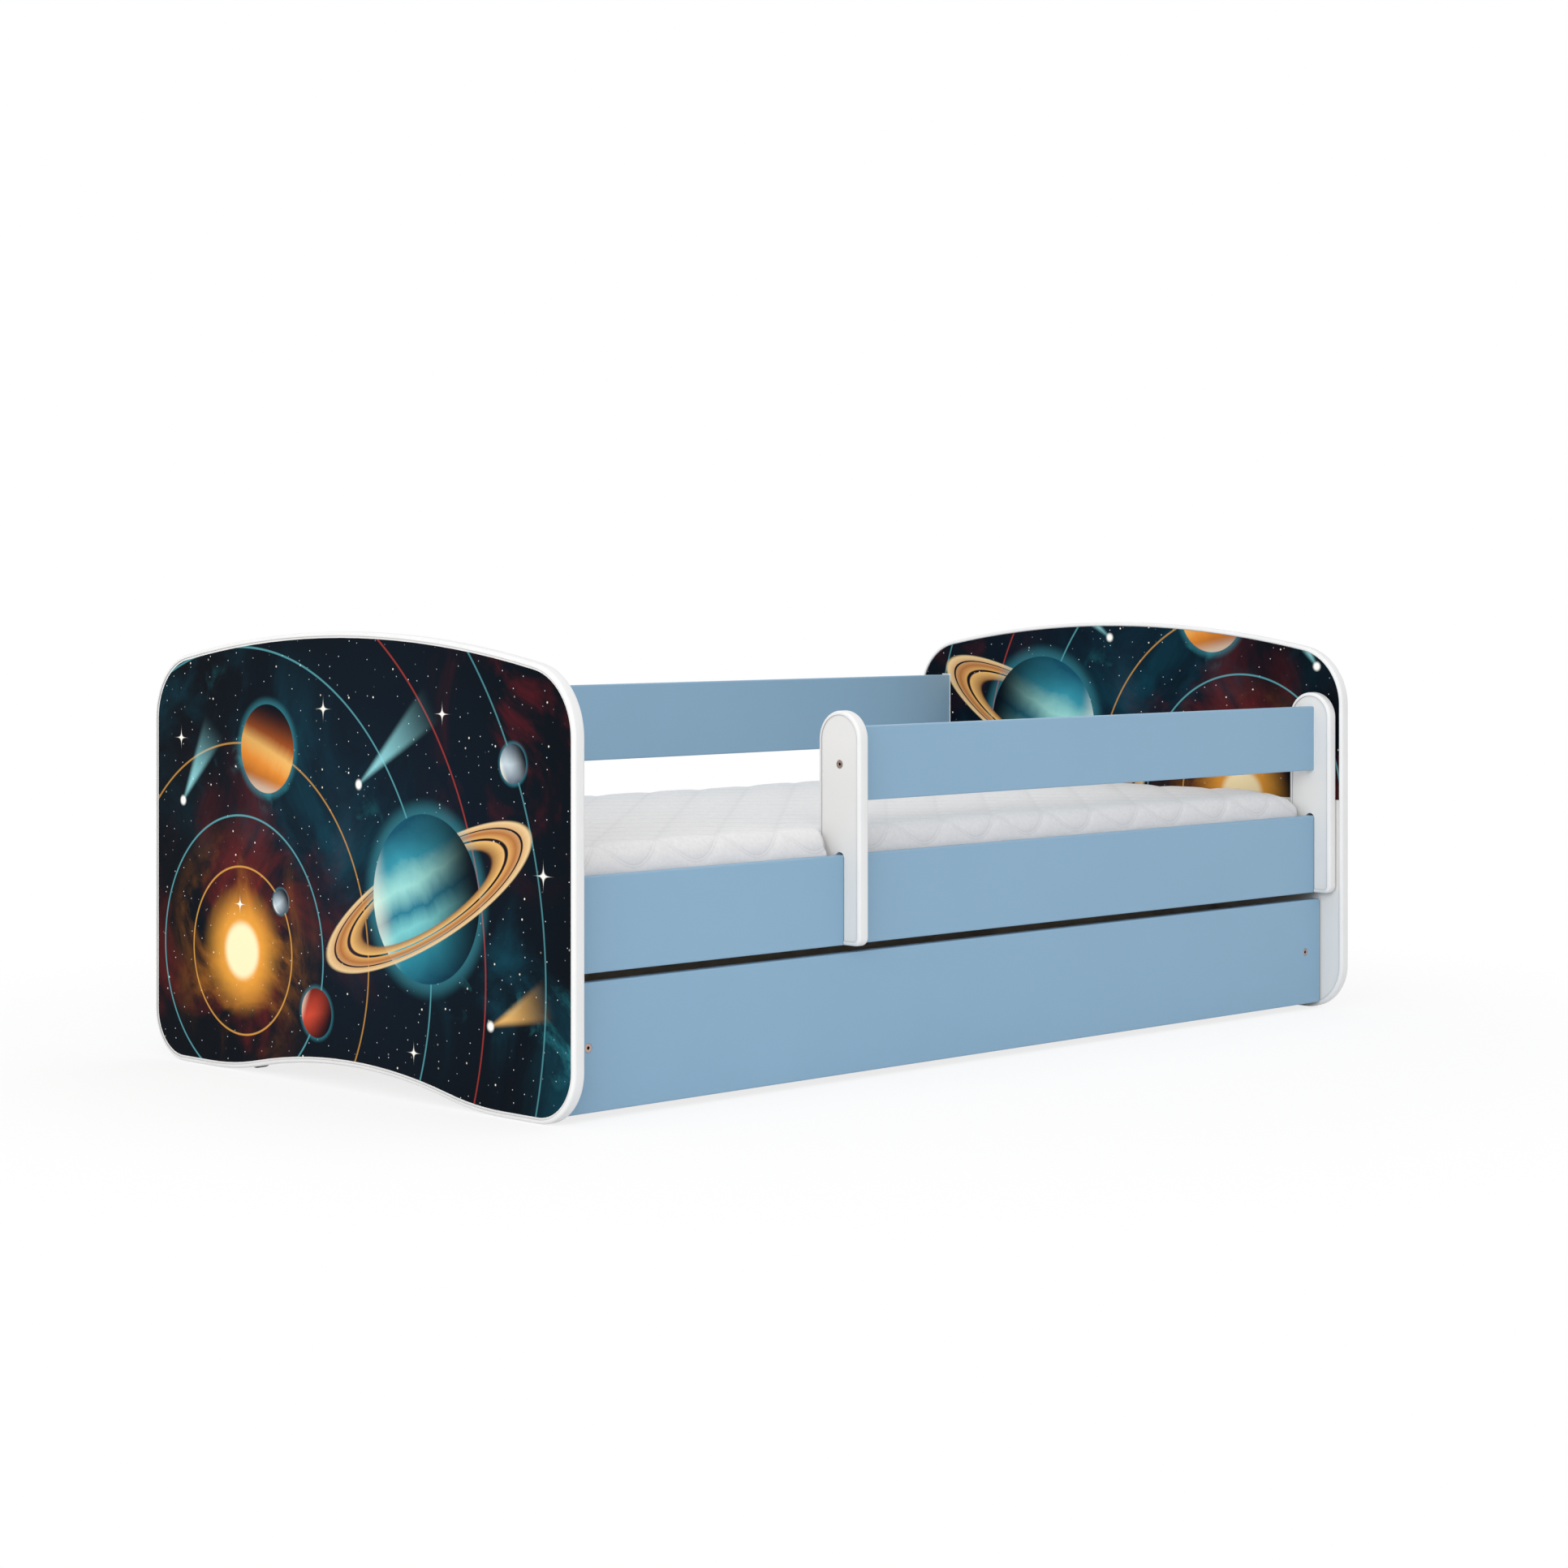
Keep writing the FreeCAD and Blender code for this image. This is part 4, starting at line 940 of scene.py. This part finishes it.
def mattress_shape():
    """Top and rings of the mattress as grids, with each point's distance from the nearest seam,
    negative under the scallops, its place down the side, and on the top its gap to the nearest seam
    of the rising family, whose rows the material darkens with painted shade.

    The top is a grid over the flat area inside the crease, and rings carry its border along the
    section. Seams are where x and y, in quilt periods, add up to or differ by a whole number. They
    cross on the crease, and below it one scallop hangs between two crossings. The top stands off
    the seam level, which sags in slow waves, by the simulated patch, repeated from square to
    square, and the sides by raised() of the distance to the scallop. The corners droop by
    droop * exp(-(distance / droop_reach)^2).
    """
    low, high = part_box("mattress")
    mid_y = (low[1] + high[1]) / 2
    half_x, half_y = (high[0] - low[0]) / 2 - cover_rim, (high[1] - low[1]) / 2 - cover_rim
    period_x, period_y = 2 * half_x / diamonds_long, 2 * half_y / diamonds_wide
    spacing = (period_x + period_y) / 2 / sqrt(2)
    seam_depth, side_pull, side_clearance = 0.0032, 0.0025, 0.0004
    pucker, pucker_reach = 0.0003, 0.014
    ease_run, settle_run, down_run = 0.014, 0.03, 0.03
    seam_z = high[2] - seam_depth
    height = seam_z - low[2]
    puffs = quilt_patch(spacing)

    def lattice(x, y):
        return x / period_x + y / period_y, x / period_x - y / period_y

    def seam_distance(x, y):
        rising, falling = lattice(x, y)
        return np.minimum(off_whole(rising), off_whole(falling)) * spacing

    def blown(x, y):
        """Height of the simulated patch, read between its points in proportion."""
        place = np.mod(np.array(lattice(x, y)), quilt_squares) * quilt_cells
        first = np.floor(place).astype(int)
        share_u, share_v = place - first
        u, v = first % (quilt_squares * quilt_cells)
        low_row = puffs[u, v] * (1 - share_v) + puffs[u, v + 1] * share_v
        high_row = puffs[u + 1, v] * (1 - share_v) + puffs[u + 1, v + 1] * share_v
        return low_row * (1 - share_u) + high_row * share_u

    def seam_level(x, y):
        sag = 0.0008 * np.sin(x * 9.1 + 0.7) * np.sin(y * 12.7 + 0.4)
        return seam_z + (sag + 0.0005 * np.sin(x * 21.0 - y * 17.0))

    x_line = np.linspace(-half_x, half_x, diamonds_long * diamond_cells + 1)
    y_line = np.linspace(-half_y, half_y, diamonds_wide * diamond_cells + 1)
    x, y = np.meshgrid(x_line, y_line, indexing="ij")
    top_seam = seam_distance(x, y)
    rising, _ = lattice(x, y)
    top_row = off_whole(rising) * spacing
    top = np.stack([x, y + mid_y, seam_level(x, y) + blown(x, y)], axis=2)

    x, y, facing, hang, lean = crease_path(x_line, y_line, period_x, period_y).T
    ring_out, ring_drop, normal_out, normal_up, run, foot_run = cover_section(height)
    below = run - scallop * hang
    side_seam = abs(below) / np.sqrt(1 + lean ** 2)
    ease = np.clip(run / ease_run, 0, 1)
    eased = side_seam * ease + seam_distance(x, y) * (1 - ease)
    side_seam = np.where(below < 0, eased, side_seam)
    settle = 0.4 + 0.6 * np.clip((foot_run - run) / settle_run, 0, 1)
    ripple = np.sin(x * 410 + 2 * np.sin(run * 190))
    ripple = ripple * np.sin(y * 430 + run * 260 + 1.3 * np.sin(x * 57))
    lift = raised(side_seam) * np.where(below < 0, 1, settle)
    lift = lift + pucker * ripple * np.exp(-side_seam / pucker_reach)
    lift = lift * ease + blown(x, y) * (1 - ease)
    pull = side_pull * np.sin(pi * np.clip((ring_drop - cover_fall) / (height - cover_fall), 0, 1))
    out = np.minimum(ring_out - pull + normal_out * lift, cover_rim - side_clearance)
    level = seam_level(x, y) - ring_drop + normal_up * lift
    level[-1] = low[2]
    rings = np.stack([
        x + np.cos(facing) * out, y + mid_y + np.sin(facing) * out, np.maximum(level, low[2]),
    ], axis=2)

    flare, clear, give, slack = 0.012, 0.002, 0.95, 0.004
    post_gap, tuck_depth, tuck_reach = 0.003, 0.006, 0.03
    droop, droop_reach = 0.021, 0.055

    def sink(grid, amount):
        """Lowers a grid by an amount times the square of each point's share of the full height."""
        grid[..., 2] -= amount * np.clip((grid[..., 2] - low[2]) / height, 0, 1) ** 2

    for grid in (top, rings):
        for post in ("guard_post_left_edging", "guard_post_right_edging"):
            post_low, post_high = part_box(post)
            centre, half = (post_low[0] + post_high[0]) / 2, (post_high[0] - post_low[0]) / 2
            pressed = post_high[1] + post_gap
            away = np.clip((abs(grid[..., 0] - centre) - half - clear) / flare, 0, 1)
            press = 1 - away * away * (3 - 2 * away)
            limit = low[1] - slack + (pressed - low[1] + slack) * press
            lack = np.maximum(limit - grid[..., 1], 0)
            front = np.exp(-np.maximum(grid[..., 1] - pressed, 0) / tuck_reach)
            sink(grid, tuck_depth * press * front)
            grid[..., 1] += lack * give
        end_far = half_x + cover_rim - abs(grid[..., 0])
        side_far = half_y + cover_rim - abs(grid[..., 1] - mid_y)
        sink(grid, droop * np.exp(-(np.hypot(end_far, side_far) / droop_reach) ** 2))
    down = np.broadcast_to(np.clip(run / down_run, 0, 1), side_seam.shape)
    return top, rings, top_seam, np.where(below < 0, side_seam, -side_seam), down, top_row


def knitted(name, colour, side, dark, thread):
    """A knitted cover: fine crossed ribs of 1.4 mm under a soft felt, painted shade greying the
    sides and the grooves beside the seams, most along the rows of one seam family, and a pale line
    on the seams down the side."""
    gloss = {"Roughness": 0.9, "Specular IOR Level": 0.1,
             "Sheen Weight": 0.1, "Sheen Roughness": 0.5}
    material, shader, place = new_material(name, gloss)
    pile = grain(place, scale=190.0, detail=5.0, roughness=0.7)
    felt = between(pile, noise_low, noise_high, 0.3, 0.0)
    apart = abs(Field(marked(shader, "seam"))).output
    down = marked(shader, "down")
    # Painted shade: darker along the rows of the rising seam family and in the grooves beside every
    # seam, more down the sides.
    row_shade = between(marked(shader, "row"), 0.009, 0.0015, 0.0, 0.38)
    groove_shade = between(apart, 0.005, 0.001, 0.0, between(down, 0.0, 1.0, 0.14, 0.4))
    stitch = between(apart, 0.0013, 0.0004, 0.0, between(down, 0.0, 0.4, 0.0, 0.36))
    # Painted shade: down the sides the cover turns to a greyer tone than the top.
    tone = mixed(down, colour, side)
    for amount, over in ((felt, dark), (larger(row_shade, groove_shade), dark), (stitch, thread)):
        tone = mixed(amount, tone, over)
    feed(shader, "Base Color", tone)
    knit = Field(weave(place, scale=112.0, waver=1.2, detail=1.0))
    fuzz = Field(grain(place, scale=260.0, detail=4.0))
    relief(shader, (knit + fuzz).output, depth=0.00012, strength=0.35)
    return material


top, rings, top_seam, side_seam, down, top_row = mattress_shape()
border = np.ones(rings.shape[1])
base = (rings[-1], np.empty((0, 4), int), np.arange(len(border))[None])
# Colours: top, the painted shade of the sides, the felt's dark tone that also paints shade in the
# seams, and the pale seam line.
cover = knitted("mattress_cover", (231, 231, 231), (222, 221, 222),
                (198, 197, 199), (238, 238, 239))
mattress = piece("mattress_cover", [patch(top), patch(rings, ring_columns=True), base], cover, 70.0,
                 seam=np.concatenate([top_seam.ravel(), side_seam.ravel(), border]),
                 down=np.concatenate([0 * top_seam.ravel(), down.ravel(), border]),
                 row=np.concatenate([top_row.ravel(), np.ones(down.size), border]))
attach(mattress, "mattress")
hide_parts("mattress")


# ---- Studio --------------------------------------------------------------------------------
# A plain white floor that fades into a white backdrop, broad soft lamps beside the camera and
# overhead, and the camera at the photograph's place.

def shown_white(near):
    """1 for rays that come from the camera, a gloss or a glass, and 0 for rays that carry light."""
    path = add(near, "ShaderNodeLightPath")
    seen = larger(path["Is Camera Ray"], path["Is Glossy Ray"])
    return larger(seen, path["Is Transmission Ray"])


paper, white_light = (0.9, 0.9, 0.9, 1), (1, 1, 1, 1)
stage_floor, shader, place = new_material(
    "studio_floor", {"Base Color": paper, "Roughness": 0.9, "Specular IOR Level": 0.0})
glow = add(shader, "ShaderNodeEmission", {"Color": white_light, "Strength": 1.0})[0]
away = add(shader, "ShaderNodeVectorMath", {0: place}, operation="LENGTH")["Value"]
white = Field(between(away, 0.9, 1.7, 0.8, 1.0))
share = Field(shown_white(shader)) * white
both = add(shader, "ShaderNodeMixShader", {0: share.output, 1: shader.outputs[0], 2: glow})[0]
feed(stage_floor.node_tree.nodes["Material Output"], "Surface", both)
mesh = bpy.data.meshes.new("studio_floor")
reach = 30.0
corners = [(-reach, -reach, 0), (reach, -reach, 0), (reach, reach, 0), (-reach, reach, 0)]
mesh.from_pydata(corners, [], [(0, 1, 2, 3)])
mesh.materials.append(stage_floor)
floor = placed("studio_floor", mesh)

world = bpy.data.worlds.new("studio")
scene.world = world
world.use_nodes = True
tree = world.node_tree
backdrop = add(tree, "ShaderNodeBackground", {"Color": white_light, "Strength": 1.0})[0]
ambient = add(tree, "ShaderNodeBackground", {"Color": white_light, "Strength": 0.66})[0]
both = add(tree, "ShaderNodeMixShader", {0: shown_white(tree), 1: ambient, 2: backdrop})[0]
feed(tree.nodes["World Output"], "Surface", both)


def softbox(name, place, target, width, height, power):
    """A broad lamp at place that faces target."""
    lamp = bpy.data.lights.new(name, "AREA")
    lamp.shape = "RECTANGLE"
    lamp.size, lamp.size_y, lamp.energy = width, height, power
    made = placed(name, lamp)
    made.location = place
    facing = np.array(target, float) - np.array(place, float)
    turn = atan2(facing[1], facing[0]) - pi / 2
    tilt = atan2(hypot(facing[0], facing[1]), -facing[2])
    made.rotation_euler = (tilt, 0, turn)


softbox("camera_softbox", (-7.3, -6.1, 4.2), (0, 0, 0.3), 8.5, 5.1, 385.0)
softbox("left_softbox", (-7.8, -0.9, 2.3), (0, -0.2, 0.3), 4.2, 3.4, 108.0)
softbox("top_softbox", (0.0, -0.3, 4.6), (0, 0, 0.3), 4.0, 3.0, 46.0)

lens = bpy.data.cameras.new("camera")
lens.sensor_width = 36.0
lens.lens = 74.66
lens.shift_x, lens.shift_y = -0.0538, -0.1259
camera = placed("camera", lens)
camera.location = (-3.482, -3.572, 0.682)
camera.rotation_euler = (radians(90), 0, radians(-45.77))
scene.camera = camera
scene.view_settings.view_transform = "Standard"
